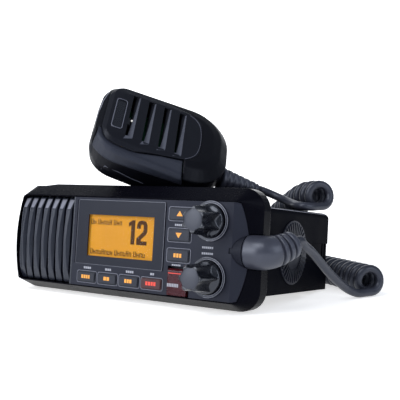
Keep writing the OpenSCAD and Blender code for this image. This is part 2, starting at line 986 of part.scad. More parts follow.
module flange_outline(gap) {
    translate([0, body_h / 2])
        rounded(cavity_w - 2 * gap, cavity_h - 2 * gap, cavity_corner - gap);
}

module chassis_opening(y0, y1) {
    along_y(y0, y1)
        translate([0, (wall_z + chassis_top - chassis_wall) / 2])
            square([chassis_w - 4 * chassis_wall, chassis_top - chassis_wall - wall_z],
                center = true);
}

module housing_gasket() {
    color("#101012")
        bench()
            difference() {
                along_y(gasket_y, flange_y)
                    flange_outline(0.3);
                chassis_opening(gasket_y - 1, flange_y + 1);
                for (x = [-screw_x, screw_x], z = screw_zs)
                    rod_y(x, z, 1.8, gasket_y - 1, flange_y + 1);
                cord_port();
            }
}

module chassis_form() {
    intersection() {
        along_y(housing_depth, chassis_rear)
            intersection() {
                translate([0, chassis_top / 2])
                    rounded(chassis_w, chassis_top, 3.5);
                translate([-chassis_w / 2, wall_z])
                    square([chassis_w, chassis_top]);
            }
        along_x(-chassis_w, chassis_w)
            intersection() {
                translate([chassis_rear / 2, chassis_top / 2])
                    rounded(chassis_rear, chassis_top, 4);
                translate([0, wall_z])
                    square([chassis_rear, chassis_top]);
            }
    }
}

module chassis() {
    fin_pitch = 7;
    color("#1d1f22")
        bench()
            difference() {
                union() {
                    difference() {
                        union() {
                            chassis_form();
                            along_y(flange_y, housing_depth)
                                flange_outline(0.3);
                        }
                        chassis_opening(flange_y - 1, housing_depth + 1);
                        translate([-chassis_w / 2 + chassis_wall, housing_depth - 0.5, wall_z - 1])
                            cube([
                                chassis_w - 2 * chassis_wall, rear_wall_y - housing_depth - 2,
                                chassis_top - wall_z - chassis_wall + 1
                            ]);
                    }
                    for (p = cover_screw_at)
                        translate([p.x, p.y, wall_z])
                            cylinder(h = 9, r = 3.1);
                }
                // Gaps between the cooling fins at the back
                for (i = [-3 : 6])
                    translate([i * fin_pitch - 8, rear_wall_y + 1, wall_z + 26])
                        cube([fin_pitch - 2.4, 6, chassis_top - wall_z]);
                // Recess and slots in the two sides
                for (s = [-1, 1]) {
                    translate([s * chassis_w / 2, chassis_rear - 20, boss_z])
                        cube([1.4, recess_l, recess_h], center = true);
                    for (y = [2.4, 6.6])
                        translate([s * chassis_w / 2, chassis_rear - y - 1, boss_z])
                            cube([3.4, 2.2, recess_h], center = true);
                    rod_x(boss_y, boss_z, 12, s * chassis_w / 2 - 5, s * chassis_w / 2 + 5);
                }
                for (x = [-screw_x, screw_x], z = screw_zs)
                    rod_y(x, z, 1.7, flange_y - 1, housing_depth + 1);
                rod_y(aerial_x, aerial_z, 6.2, rear_wall_y - 4, chassis_rear + 1);
                rod_y(power_x, gland_z, 5, rear_wall_y - 4, chassis_rear + 1);
                rod_y(data_x, gland_z, 4, rear_wall_y - 4, chassis_rear + 1);
                for (p = cover_screw_at)
                    translate([p.x, p.y, wall_z - 1])
                        cylinder(h = 7, r = 1.25);
                cord_port();
            }
}

cover_screw_at = [
    for (x = [-1, 1], y = [housing_depth + 3.4, boss_y + 28, chassis_rear - 3.4])
        [x * (chassis_w / 2 - 4.4), y]
];

module bottom_cover() {
    color("#232529")
        bench()
            difference() {
                union() {
                    translate([-chassis_w / 2, housing_depth, chassis_bottom])
                        cube([chassis_w, chassis_rear - housing_depth, cover_t]);
                    for (p = standoffs)
                        translate([p.x, p.y, chassis_bottom])
                            cylinder(h = cover_t + standoff_h, r = 3.2);
                }
                for (p = standoffs)
                    translate([p.x, p.y, wall_z])
                        cylinder(h = standoff_h + 1, r = 1.25);
                for (p = cover_screw_at)
                    translate([p.x, p.y, chassis_bottom - 1]) {
                        cylinder(h = cover_t + 2, r = 1.7);
                        cylinder(h = 2.4, r = 3);
                    }
            }
}

module bracket_boss(s) {
    side = chassis_w / 2;
    mirror([s < 0 ? 1 : 0, 0, 0])
        difference() {
            union() {
                rod_x(boss_y, boss_z, 11.9, side - 13, side + 0.1);
                rod_x(boss_y, boss_z, boss_r, side, side + boss_disc_t);
                difference() {
                    for (i = [0 : tooth_count - 1])
                        translate([side, boss_y, boss_z])
                            rotate([i * 360 / tooth_count, 0, 0])
                                translate([0, boss_r - 9, -0.5])
                                    cube([boss_disc_t + tooth_t, 8, 1]);
                    rod_x(boss_y, boss_z, boss_r - 8.6, side - 1, side + 3);
                }
            }
            rod_x(boss_y, boss_z, bracket_hole_r, side - 11.3, side + 3);
        }
}

module bracket_bosses() {
    color("#2c2e32")
        bench()
            for (s = [-1, 1])
                bracket_boss(s);
}

module main_board() {
    color("#1f5a3a")
        bench()
            difference() {
                translate([-main_board_w / 2, board_front, main_board_z])
                    cube([main_board_w, board_rear - board_front, board_t]);
                for (p = standoffs)
                    translate([p.x, p.y, main_board_z - 1])
                        cylinder(h = board_t + 2, r = 1.7);
            }
}

module shield_can() {
    color("#b9bcbf")
        bench()
            translate([can_x[0], board_front + 14, main_board_z + board_t])
                cube([can_x[1] - can_x[0], board_rear - board_front - 34, can_h]);
}

module power_amplifier() {
    color("#3a3a3a")
        bench()
            translate([amplifier_x[0], board_rear - 14, main_board_z + board_t])
                cube([amplifier_x[1] - amplifier_x[0], amplifier_l, amplifier_h]);
}

module aerial_socket() {
    y0 = rear_wall_y - 3;
    color("#b9bdc2")
        bench()
            difference() {
                union() {
                    rod_y(aerial_x, aerial_z, 6, y0, chassis_rear + 1);
                    rod_y(aerial_x, aerial_z, 9, chassis_rear, chassis_rear + 1.4);
                    rod_y(aerial_x, aerial_z, aerial_r, chassis_rear, chassis_rear + aerial_l);
                }
                rod_y(aerial_x, aerial_z, 4.6, y0 - 1, chassis_rear + aerial_l + 1);
            }
}

module aerial_insulator() {
    color("#e9e6dc")
        bench()
            difference() {
                rod_y(aerial_x, aerial_z, 4.6, rear_wall_y - 1, chassis_rear + aerial_l - 2);
                rod_y(aerial_x, aerial_z, 2.2, rear_wall_y - 2, chassis_rear + aerial_l);
            }
}

module aerial_contact() {
    color("#c9a24a")
        bench()
            difference() {
                rod_y(aerial_x, aerial_z, 2.2, rear_wall_y - 6, chassis_rear + aerial_l - 2);
                rod_y(aerial_x, aerial_z, 1.9, rear_wall_y + 4, chassis_rear + aerial_l);
            }
}

module gland(x, r, bore_r) {
    color("#141416")
        bench()
            difference() {
                union() {
                    rod_y(x, gland_z, r, rear_wall_y - 3, chassis_rear + 0.5);
                    rod_y(x, gland_z, r + 1.6, chassis_rear, chassis_rear + 3);
                }
                rod_y(x, gland_z, bore_r, rear_wall_y - 4, chassis_rear + 4);
            }
}

// ---------------------------------------------------------------- screws

module screw(r, l, head_r, head_h) {
    cylinder(h = l, r = r);
    difference() {
        translate([0, 0, -head_h])
            cylinder(h = head_h, r = head_r);
        translate([0, 0, -head_h - 1])
            cylinder(h = 1 + head_h / 2, r = head_r / 2, $fn = 6);
    }
}

module board_screws() {
    color("#c4c8cc")
        bench() {
            for (p = panel_bosses)
                translate([p.x, board_y + board_t, p.y])
                    rotate([90, 0, 0])
                        screw(0.8, board_t + 3, 1.7, 1.2);
            for (p = standoffs)
                translate([p.x, p.y, main_board_z + board_t])
                    rotate([180, 0, 0])
                        screw(1.25, board_t + 4, 2.6, 1.6);
        }
}

module front_screws() {
    color("#8f9398")
        bench()
            for (x = [-screw_x, screw_x], z = screw_zs)
                translate([x, housing_depth, z])
                    rotate([90, 0, 0])
                        screw(1.25, 7, 2.6, 1.8);
}

module cover_screws() {
    color("#8f9398")
        bench()
            for (p = cover_screw_at)
                translate([p.x, p.y, chassis_bottom + 1.4])
                    screw(1.25, 5.5, 2.8, 1.3);
}

// ---------------------------------------------------------------- microphone

module mic_slice(z, inset, t = 0.4, r = mic_top_r) {
    translate([0, 0, z - t / 2])
        for (s = [-1, 1]) {
            translate([r - mic_l / 2, s * (mic_w / 2 - r), 0])
                cylinder(h = t, r = r - inset, $fn = 36);
            translate([mic_l / 2 - mic_end_r, s * (mic_end_w / 2 - mic_end_r), 0])
                cylinder(h = t, r = mic_end_r - inset, $fn = 36);
        }
}

// The whole microphone as one soft block, drawn in by a wall or grown by a lip. Its top end is
// squarer at the front than at the back.
module mic_form(in = 0) {
    hull() {
        mic_slice(-mic_back + 0.2 + in, 6.7 + in);
        mic_slice(-mic_back + 3.1 + in, 2.8 + in);
        mic_slice(-mic_back + 9.3, 0.8 + in);
        mic_slice(0, in, 8.2);
        mic_slice(mic_front - 5.2, 2.2 + in, 0.4, mic_front_r);
        mic_slice(mic_front - 1.2 - in, 6.2 + in, 0.4, mic_front_r);
        mic_slice(mic_front - 0.2 - in, 11.8, 0.4, mic_front_r);
    }
}

// The talk lever's outline seen from its side, grown by a gap, and by more at its free end
module talk_block(gap, end_gap = 0) {
    translate([0, gap - 16, 0])
        rotate([90, 0, 0])
            linear_extrude(mic_w)
                polygon([
                    [talk_x - gap, talk_z[0] + 0.4 - gap],
                    [talk_x + talk_l + talk_slant / 2 + end_gap, talk_z[0] + 0.4 + talk_rise - gap],
                    [talk_x + talk_l - talk_slant / 2 + end_gap, mic_front + 1],
                    [talk_x - gap, mic_front + 1]
                ]);
}

// The part of the microphone that its front cover takes up; it narrows towards the cord end
module cover_block(gap) {
    translate([0, 0, split_z + gap])
        linear_extrude(mic_front) {
            translate([-mic_l, -mic_w])
                square([mic_l + split_from.x, 2 * mic_w]);
            hull() {
                translate([split_from.x - 1, gap - split_from.y])
                    square([1, 2 * (split_from.y - gap)]);
                for (s = [-1, 1])
                    translate([split_x - split_r, s * (split_w - split_r)])
                        circle(split_r - gap);
            }
        }
}

module mic_hollow() {
    difference() {
        mic_form();
        mic_form(mic_wall);
    }
}

module talk_axis(r, z0, z1) {
    translate([talk_pin_at.x, talk_pin_at.y, z0])
        cylinder(h = z1 - z0, r = r);
}

module mic_posts(r, z0) {
    for (x = [-1, 1], y = [-1, 1])
        translate([x * (mic_pcb.x / 2 - 3), y * (mic_pcb.y / 2 - 3), z0])
            cylinder(h = mic_pcb_z - z0, r = r);
}

module mic_rear_shell() {
    pin_end = talk_z[0] - 2.6;
    color("#1b1c1f")
        mic_frame()
            difference() {
                union() {
                    mic_hollow();
                    mic_posts(2.4, -mic_back + 1);
                    // Bracket that carries the lower end of the talk lever's pin
                    intersection() {
                        translate([talk_pin_at.x - 3, -mic_w / 2, talk_z[0] - 3.4])
                            cube([6, mic_w / 2 + talk_pin_at.y + 3, 3]);
                        mic_form(0.5);
                    }
                    // Hanger stud on the back
                    translate([-8, 0, -mic_back - 3])
                        cylinder(h = 4, r = 3.4);
                    translate([-8, 0, -mic_back - 4.6])
                        cylinder(h = 1.8, r = 5.6);
                }
                cover_block(0);
                talk_block(talk_gap, talk_end_gap);
                talk_axis(talk_pin_r, pin_end, 0);
                mic_posts(0.8, mic_pcb_z - 5);
                translate(relief_at)
                    rotate(relief_turn)
                        rotate([0, 90, 0]) {
                            translate([0, 0, -8])
                                cylinder(h = 16, r = 3.4);
                            translate([0, 0, -0.05])
                                cylinder(h = 18, r = 7.3);
                        }
            }
}

module mic_front_cover() {
    cut = mic_front - 2.8;
    color("#44474e")
        mic_frame()
            difference() {
                intersection() {
                    mic_hollow();
                    cover_block(split_gap);
                }
                translate([nameplate_at.x, nameplate_at.y, mic_front - 1])
                    linear_extrude(2)
                        rounded(nameplate.x + 0.4, nameplate.y + 0.4, 1.2);
                for (x = louvre_xs)
                    translate([x, louvre_y[1], 0])
                        rotate([90, 0, 0])
                            linear_extrude(louvre_y[1] - louvre_y[0])
                                polygon([
                                    [0, mic_front + 1], [0, cut], [0.9, cut],
                                    [4.6, mic_front], [4.6, mic_front + 1]
                                ]);
                translate([mouth_at.x, mouth_at.y, 0])
                    cylinder(h = mic_front + 1, r = 0.6);
                talk_axis(talk_pin_r, 0, mic_front - 2);
            }
}

module mic_nameplate() {
    color("#2b2d31")
        mic_frame()
            translate([nameplate_at.x, nameplate_at.y, mic_front - 1])
                linear_extrude(0.5)
                    rounded(nameplate.x, nameplate.y, 1);
}

module talk_lever() {
    low = talk_z[0] + 0.4;
    high = talk_z[1] - 0.1;
    eye_top = talk_z[1] - 0.9;
    color("#5b5f67")
        mic_frame()
            difference() {
                union() {
                    intersection() {
                        difference() {
                            mic_form(-talk_lip);
                            mic_form(1.8);
                        }
                        talk_block(0);
                        translate([-mic_l, -mic_w, low - 1])
                            cube([2 * mic_l, mic_w, high - low + 1]);
                    }
                    // The part beside the cover, which clears it when the lever is pressed in
                    difference() {
                        intersection() {
                            mic_form(0.05);
                            talk_block(0);
                            translate([split_from.x, -mic_w, high - 0.2])
                                cube([mic_l, mic_w, mic_front]);
                        }
                        mic_form(1.8);
                        translate([talk_pin_at.x, talk_pin_at.y, 0])
                            rotate([0, 0, -talk_swing])
                                translate([-talk_pin_at.x, -talk_pin_at.y, -split_gap])
                                    cover_block(-0.3);
                    }
                    intersection() {
                        union() {
                            talk_axis(2.2, low + 0.8, eye_top);
                            translate([talk_pin_at.x - 2.2, -mic_w / 2, low + 0.8])
                                cube([4.4, mic_w / 2 + talk_pin_at.y, eye_top - low - 0.8]);
                        }
                        mic_form(1);
                    }
                }
                talk_axis(talk_pin_r + shaft_gap, low - 5, high + 5);
            }
}

module talk_pin() {
    color("#b8bcc0")
        mic_frame()
            talk_axis(talk_pin_r, talk_z[0] - 2.6, mic_front - 2);
}

module talk_switch() {
    color("#15161a")
        mic_frame()
            translate([-3, -29.1, mic_pcb_z + mic_pcb.z])
                cube([6, 14, 4]);
}

module mic_board() {
    color("#1f5a3a")
        mic_frame()
            translate([-mic_pcb.x / 2, -mic_pcb.y / 2, mic_pcb_z])
                cube(mic_pcb);
}

module mic_capsule() {
    base = mic_pcb_z + mic_pcb.z;
    color("#9a9da1")
        mic_frame()
            translate([mouth_at.x, mouth_at.y, base])
                cylinder(h = mic_front - mic_wall - base - 0.6, r = 4);
}

module mic_strain_relief() {
    step = relief_l / (relief_ribs + 0.3);
    color("#33363b")
        mic_frame()
            translate(relief_at)
                rotate(relief_turn)
                    rotate([0, 90, 0])
                        rotate_extrude()
                            polygon(concat(
                                [[0, -6], [3.4, -6], [3.4, 0]],
                                [
                                    for (i = [0 : relief_ribs - 1])
                                        let (r = 7.2 - i * 0.64)
                                        for (q = [[r, i * step + 0.4], [r - 0.3, (i + 0.72) * step],
                                            [r - 1.3, (i + 0.76) * step], [r - 1.4, (i + 1) * step]]) q
                                ],
                                [[cord_r + 0.4, relief_l], [0, relief_l]]
                            ));
}

// ---------------------------------------------------------------- nodes

front_housing();
front_panel();
speaker_grille();
speaker_cloth();
speaker_gasket();
speaker_basket();
speaker_cone();
speaker_magnet();
display_window();
display_lens();
display_glass();
backlight();
key_mat();
front_board();
row_key(0);  // row_key_1
row_key(1);  // row_key_2
row_key(2);  // row_key_3
row_key(3);  // row_key_4
side_key(0);  // up_key
side_key(1);  // down_key
side_key(2);  // enter_key
distress_cover();
distress_pin();
distress_key();
knob_rings();
knob(volume_z);  // volume_knob
knob(squelch_z);  // squelch_knob
shaft(volume_z);  // volume_shaft
shaft(squelch_z);  // squelch_shaft
control(volume_z);  // volume_control
control(squelch_z);  // squelch_control
housing_gasket();
chassis();
bottom_cover();
bracket_bosses();
main_board();
shield_can();
power_amplifier();
aerial_socket();
aerial_insulator();
aerial_contact();
gland(power_x, 4.8, 3);  // power_gland
gland(data_x, 3.8, 2.2);  // data_gland
board_screws();
front_screws();
cover_screws();
cord_collar();
cord_boot();
cord_lead();
curly_cord();
mic_lead();
mic_strain_relief();
mic_rear_shell();
mic_front_cover();
mic_nameplate();
talk_lever();
talk_pin();
talk_switch();
mic_board();
mic_capsule();
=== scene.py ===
"""A fixed-mount marine radio with its fist microphone and curly cord: finishes, cords and small details.

Places on the radio and on the microphone are in millimetres, in the same coordinates as the part's source:
across, away from the user, and up. Everything that reaches Blender is in metres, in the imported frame.
"""
import json
import math

import bmesh
import bpy
from mathutils import Matrix, Vector


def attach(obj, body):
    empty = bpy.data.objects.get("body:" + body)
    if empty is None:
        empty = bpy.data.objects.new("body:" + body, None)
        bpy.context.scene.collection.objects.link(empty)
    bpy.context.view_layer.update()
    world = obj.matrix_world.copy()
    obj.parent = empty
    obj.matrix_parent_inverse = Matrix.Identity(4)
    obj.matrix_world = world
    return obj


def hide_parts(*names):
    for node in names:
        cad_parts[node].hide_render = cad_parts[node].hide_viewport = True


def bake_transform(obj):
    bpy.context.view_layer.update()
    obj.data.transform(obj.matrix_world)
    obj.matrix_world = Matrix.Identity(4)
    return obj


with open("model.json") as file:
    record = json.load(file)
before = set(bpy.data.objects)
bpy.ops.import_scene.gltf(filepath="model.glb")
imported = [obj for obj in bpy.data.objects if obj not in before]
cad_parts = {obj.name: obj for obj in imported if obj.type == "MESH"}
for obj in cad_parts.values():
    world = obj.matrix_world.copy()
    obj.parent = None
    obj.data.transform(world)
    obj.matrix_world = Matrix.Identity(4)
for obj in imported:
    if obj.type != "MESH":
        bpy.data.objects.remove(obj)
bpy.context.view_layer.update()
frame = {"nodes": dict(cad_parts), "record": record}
scene = bpy.context.scene

# ---------------------------------------------------------------- places

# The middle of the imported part, away from the front housing's face
ORIGIN_Y = 54.3847
# The radio tips back about the rear foot of its front housing, until the bottom cover rests on the bench
HOUSING_DEPTH = 20
CHASSIS_BOTTOM = 8.8
CHASSIS_REAR = 110
PITCH = math.atan(CHASSIS_BOTTOM / (CHASSIS_REAR - HOUSING_DEPTH))
MIC_AT = Vector((1.7, 44.3, 96.3))
MIC_TURN = (
    Matrix.Rotation(math.radians(44.7), 3, "Z")
    @ Matrix.Rotation(math.radians(19), 3, "Y")
    @ Matrix.Rotation(math.radians(46), 3, "X")
)


def on_bench(p):
    """Bench coordinates in mm, to metres in the frame."""
    return Vector((p[0], p[1] - ORIGIN_Y, p[2])) / 1000


def bench_of(p):
    """The radio's own coordinates in mm, to the bench's."""
    y = p[1] - HOUSING_DEPTH
    return Vector((
        p[0],
        HOUSING_DEPTH + y * math.cos(PITCH) + p[2] * math.sin(PITCH),
        p[2] * math.cos(PITCH) - y * math.sin(PITCH),
    ))


def on_radio(p):
    return on_bench(bench_of(p))


def on_mic(p):
    return on_bench(MIC_AT + MIC_TURN @ Vector(p))


# ---------------------------------------------------------------- camera

EYE = (0.2515, -0.36946, 0.07699)
right = Vector((0.8511, 0.525, 0.0058)).normalized()
ahead = Vector((-0.5243, 0.8504, -0.0429))
ahead = (ahead - ahead.dot(right) * right).normalized()
up = right.cross(ahead)

camera = bpy.data.objects.new("camera", bpy.data.cameras.new("camera"))
scene.collection.objects.link(camera)
camera.data.lens = 62.37
camera.data.sensor_width = 36
camera.data.clip_start = 0.01
camera.matrix_world = Matrix((right, up, -ahead)).transposed().to_4x4()
camera.matrix_world.translation = EYE
scene.camera = camera
scene.view_settings.view_transform = "Standard"

# ---------------------------------------------------------------- finishes


def linear(colour):
    """An sRGB hex colour, as the linear numbers that the shader takes."""
    parts = [int(colour[i:i + 2], 16) / 255 for i in (1, 3, 5)]
    return [c / 12.92 if c <= 0.04045 else ((c + 0.055) / 1.055) ** 2.4 for c in parts] + [1.0]


def shade(colour, by):
    return [min(1.0, c * by) for c in linear(colour)[:3]] + [1.0]


def add(tree, kind, inputs=None, **settings):
    """One node, with its settings, and its inputs as numbers or as links."""
    n = tree.nodes.new(kind)
    for key, value in settings.items():
        setattr(n, key, value)
    for key, value in (inputs or {}).items():
        if isinstance(value, bpy.types.NodeSocket):
            tree.links.new(value, n.inputs[key])
        else:
            n.inputs[key].default_value = value
    return n


def finish(
    name, colour, rough, grain=0.3, depth=0.01, vary=0.1, spread=0.08, cloud=14.0,
    metal=0.0, gloss=0.5, edge=0.15, glow=None, alpha=1.0, pores=False,
):
    """A moulded, painted or metal finish.
    grain is the size of its surface grain in mm and depth that grain's height. vary is how much its colour
    drifts over patches of cloud mm, and spread how much its roughness does. edge is the radius in mm that
    its edges catch light with, and pores makes its grain open cells."""
    m = bpy.data.materials.new(name)
    m.use_nodes = True
    t = m.node_tree
    p = t.nodes["Principled BSDF"]
    place = add(t, "ShaderNodeTexCoord").outputs["Object"]
    drift = add(t, "ShaderNodeTexNoise", {
        "Vector": place, "Scale": 1000 / cloud, "Detail": 3.0, "Roughness": 0.55,
    }).outputs["Fac"]
    if pores:
        fine = add(t, "ShaderNodeTexVoronoi", {
            "Vector": place, "Scale": 1000 / grain,
        }, feature="SMOOTH_F1").outputs["Distance"]
    else:
        fine = add(t, "ShaderNodeTexNoise", {
            "Vector": place, "Scale": 1000 / grain, "Detail": 2.0, "Roughness": 0.6,
        }).outputs["Fac"]
    tone = add(t, "ShaderNodeValToRGB", {"Fac": drift})
    for end, position, by in zip(tone.color_ramp.elements, (0.3, 0.72), (1 - vary, 1 + vary)):
        end.position = position
        end.color = shade(colour, by)
    t.links.new(tone.outputs["Color"], p.inputs["Base Color"])
    mixed = add(t, "ShaderNodeMath", {0: drift, 1: fine}, operation="ADD")
    dull = add(t, "ShaderNodeMapRange", {
        "Value": mixed.outputs[0], "From Min": 0.7, "From Max": 1.3,
        "To Min": max(0.02, rough - spread), "To Max": min(1.0, rough + spread),
    })
    t.links.new(dull.outputs["Result"], p.inputs["Roughness"])
    bump = add(t, "ShaderNodeBump", {"Height": fine, "Distance": depth / 1000, "Strength": 1.0})
    if edge:
        soft = add(t, "ShaderNodeBevel", {"Radius": edge / 1000}, samples=4)
        t.links.new(soft.outputs["Normal"], bump.inputs["Normal"])
    t.links.new(bump.outputs["Normal"], p.inputs["Normal"])
    p.inputs["Metallic"].default_value = metal
    p.inputs["Specular IOR Level"].default_value = gloss
    # Plastics here reflect slightly blue, as they do under a studio's cool lamps
    p.inputs["Specular Tint"].default_value = (0.8, 0.86, 1.0, 1.0)
    p.inputs["Alpha"].default_value = alpha
    if glow:
        t.links.new(tone.outputs["Color"], p.inputs["Emission Color"])
        p.inputs["Emission Strength"].default_value = glow
    return m


# Front housing: semi-gloss moulded black plastic, with a faint orange peel
housing_black = finish(
    "housing_black", "#0a0a11", 0.24, grain=0.9, depth=0.0015, vary=0.06, gloss=0.03, edge=0.9)
# Front panel: fine spark-eroded satin, dark blue-grey
panel_grey = finish("panel_grey", "#1b1d29", 0.55, grain=0.22, depth=0.008, vary=0.06, gloss=0.3, edge=0.2)
# Slatted grille: satin moulding, a little lighter, whose rounded edges catch the light
grille_grey = finish(
    "grille_grey", "#171a25", 0.34, grain=0.25, depth=0.008, vary=0.07, gloss=0.6, edge=0.5)
# Window plate round the display: smooth acrylic with a dark grey print behind it
window_grey = finish(
    "window_grey", "#1c1e28", 0.36, grain=1.6, depth=0.0004, vary=0.02, spread=0.03, gloss=0.2, edge=0.1)
# Chassis: die-cast black with a fine powder coat
chassis_black = finish(
    "chassis_black", "#090a11", 0.56, grain=0.45, depth=0.008, vary=0.12, gloss=0.02, edge=0.3)
# Bracket bosses: the same casting, worn smoother where the bracket turns on it, and painted paler than the
# chassis as a painted highlight on their teeth
boss_highlight_grey = finish("boss_highlight_grey", "#1c1e28", 0.4, vary=0.14, gloss=0.4, edge=0.2)
# Knobs: glossy moulding, with a fine grain
knob_black = finish("knob_black", "#08090f", 0.24, grain=0.18, depth=0.007, gloss=0.8, edge=0.4)
# Domed ends of the knobs: the same moulding, painted paler where the lamps catch them, a painted highlight
knob_end_highlight = finish(
    "knob_end_highlight", "#34363f", 0.42, grain=0.18, depth=0.006, vary=0.12, cloud=5, gloss=0.6, edge=0)
# Rings round the knobs: smoother plastic
ring_black = finish("ring_black", "#191b22", 0.3, grain=0.4, depth=0.004, vary=0.08, gloss=0.55)
# Keys: satin silicone over plastic
key_black = finish("key_black", "#20222b", 0.46, grain=0.2, depth=0.006, vary=0.06, gloss=0.4, edge=0.3)
# The fourth key of the row, tinted dark red
key_maroon = finish("key_maroon", "#42211f", 0.44, grain=0.2, depth=0.006, vary=0.08, gloss=0.42, edge=0.3)
# Emergency cover: clear red polycarbonate, thin enough to show the key below
cover_red = finish(
    "cover_red", "#47090f", 0.2, grain=1.4, depth=0.002, vary=0.08, gloss=0.4, edge=0.2, alpha=0.8)
# Emergency key: glowing red moulding
distress_red = finish("distress_red", "#b5231d", 0.4, grain=0.25, depth=0.006, vary=0.06, edge=0.25, glow=0.12)
# Amber liquid-crystal display, lit from behind
amber = finish(
    "amber_display", "#d1901f", 0.55, grain=0.2, depth=0, vary=0.07, cloud=34, gloss=0.2, edge=0, glow=0.16)
# Clear acrylic over the display
clear = finish(
    "clear_acrylic", "#3a3c42", 0.08, grain=2, depth=0.0005, vary=0.02, spread=0.03, edge=0, alpha=0.05)
# Microphone: matt moulded black with a fine even grain
mic_black = finish("mic_black", "#07070d", 0.4, grain=0.28, depth=0.012, gloss=0.16, edge=2.4)
# Microphone's front cover: the same plastic, slightly greyer and smoother
mic_grey = finish("mic_grey", "#0e0f16", 0.4, grain=0.25, vary=0.08, gloss=0.26, edge=0.9)
# Talk lever: rubber-like grey, softer sheen
lever_grey = finish("lever_grey", "#262934", 0.46, depth=0.014, vary=0.07, gloss=0.4, edge=2)
# Blank nameplate: dark brushed plate
plate_dark = finish("plate_dark", "#0c0d13", 0.28, grain=0.5, depth=0.003, gloss=0.6, edge=0.12)
# Cord jacket: smooth vulcanised rubber
jacket = finish("cord_rubber", "#2a2c36", 0.38, grain=0.5, depth=0.012, vary=0.14, gloss=0.55, edge=0)
# Boot and strain relief: softer rubber, greyer with handling
boot_grey = finish("boot_rubber", "#373944", 0.36, grain=0.35, depth=0.014, vary=0.12, gloss=0.7, edge=0)
# Collar that the boot plugs into: matt moulding
collar_grey = finish("collar_grey", "#191b25", 0.5, depth=0.008, gloss=0.2, edge=0.3)
# Speaker cloth: woven black, its weave drawn as open cells
cloth_black = finish(
    "speaker_cloth", "#0b0b0d", 0.95, grain=0.35, depth=0.12, vary=0.3, gloss=0.1, edge=0, pores=True)
# Gaskets: closed-cell foam
foam = finish("foam_rubber", "#141416", 0.9, grain=0.6, depth=0.15, vary=0.2, gloss=0.15, edge=0, pores=True)
# Speaker basket, pins and shafts: zinc-plated steel
steel = finish("plated_steel", "#b9bcbf", 0.3, grain=0.2, depth=0.003, vary=0.06, metal=1, edge=0.1)
# Screws of the front housing: steel with a black oxide, which takes most of its shine
screw_black = finish("black_oxide_steel", "#141418", 0.45, grain=0.2, depth=0.003, gloss=0.3, edge=0.1)
# Aerial socket: bright nickel plate
nickel = finish("socket_nickel", "#c3c0b6", 0.24, depth=0.003, vary=0.06, metal=1, edge=0.12)
# Contacts: turned brass
brass = finish("contact_brass", "#c9a653", 0.28, grain=0.25, depth=0.003, vary=0.08, metal=1, edge=0.08)
# Speaker cone: pressed paper
paper = finish("cone_paper", "#1b1a18", 0.85, grain=0.5, depth=0.06, vary=0.18, gloss=0.2, edge=0)
# Speaker magnet: sintered ferrite
ferrite = finish("magnet_ferrite", "#3c3d40", 0.6, depth=0.03, vary=0.16, gloss=0.4, edge=0.2)
# Backlight: frosted acrylic
guide = finish("light_guide", "#e9dfc6", 0.35, grain=0.4, depth=0.004, vary=0.04, edge=0.1, glow=0.15)
# Circuit boards: green resist over copper
board_green = finish("circuit_board", "#1d5a3b", 0.42, grain=0.6, depth=0.012, vary=0.16, edge=0, pores=True)
# Component packages: moulded epoxy
package = finish("package_black", "#232326", 0.5, grain=0.2, depth=0.008, edge=0.1)
# Shield can: tinned sheet
tin = finish("tin_plate", "#b4b6b8", 0.36, grain=0.5, depth=0.004, metal=1)
# Insulator in the aerial socket: white moulding
white_plastic = finish("insulator_white", "#e6e2d8", 0.4, depth=0.004, vary=0.04)
# Cable glands: dull rubber
gland_black = finish("gland_rubber", "#161618", 0.6, grain=0.4, depth=0.02, vary=0.14, gloss=0.35, edge=0.2)
# Legends that are lit through the keys
print_amber = finish("print_amber", "#e39a3c", 0.5, grain=0.15, depth=0.002, vary=0.08, edge=0, glow=0.35)
# The red print also makes the painted highlight along the emergency cover's lip
red_print_and_lip_highlight = finish("red_print_and_lip_highlight", "#e0493a", 0.5, grain=0.15, depth=0.002, vary=0.08, edge=0, glow=0.3)
# Pale print on the panel and on the cover
print_pale = finish("print_pale", "#a9abb6", 0.5, grain=0.15, depth=0.002, vary=0.08, edge=0)
# Dark segments in the display
segment_brown = finish("segment_brown", "#4a2c0c", 0.6, grain=0.15, depth=0, gloss=0.2, edge=0)
# Painted highlights: pale lines, rims and facets laid on moulded rims, rings and edges where they catch the
# light
key_line_highlight = finish("key_line_highlight", "#6a6c79", 0.36, grain=0.2, depth=0.002, vary=0.08, edge=0)
highlight_line_grey = finish("highlight_line_grey", "#80828e", 0.34, grain=0.2, depth=0.002, vary=0.06, gloss=0.6, edge=0)
rim_highlight_grey = finish("rim_highlight_grey", "#4a4c58", 0.34, grain=0.2, depth=0.003, vary=0.06, gloss=0.6, edge=0)
facet_highlight_grey = finish("facet_highlight_grey", "#4a4c57", 0.3, grain=0.2, depth=0.003, gloss=0.7, edge=0)
# Transmit lamp: milky plastic with a lamp behind it
lamp_white = finish("lamp_white", "#f2f0ea", 0.3, grain=0.2, depth=0.001, vary=0.02, edge=0, glow=0.5)

BY_SLOT = {
    "gloss_black": housing_black, "panel_satin": panel_grey, "grille_satin": grille_grey,
    "speaker_cloth": cloth_black, "foam_rubber": foam, "plated_steel": steel, "cone_paper": paper,
    "magnet_ferrite": ferrite, "window_gloss": window_grey, "clear_lens": clear, "amber_display": amber,
    "light_guide": guide, "circuit_board": board_green, "key_satin": key_black, "key_red": key_maroon,
    "cover_red": cover_red, "knob_satin": knob_black, "ring_satin": ring_black, "cast_black": chassis_black,
    "boss_satin": boss_highlight_grey, "package_black": package, "tin_plate": tin, "socket_nickel": nickel,
    "insulator_white": white_plastic, "contact_brass": brass, "gland_black": gland_black,
    "boot_rubber": boot_grey, "cord_jacket": jacket, "mic_black": mic_black, "mic_grey": mic_grey,
    "lever_grey": lever_grey, "plate_dark": plate_dark,
}
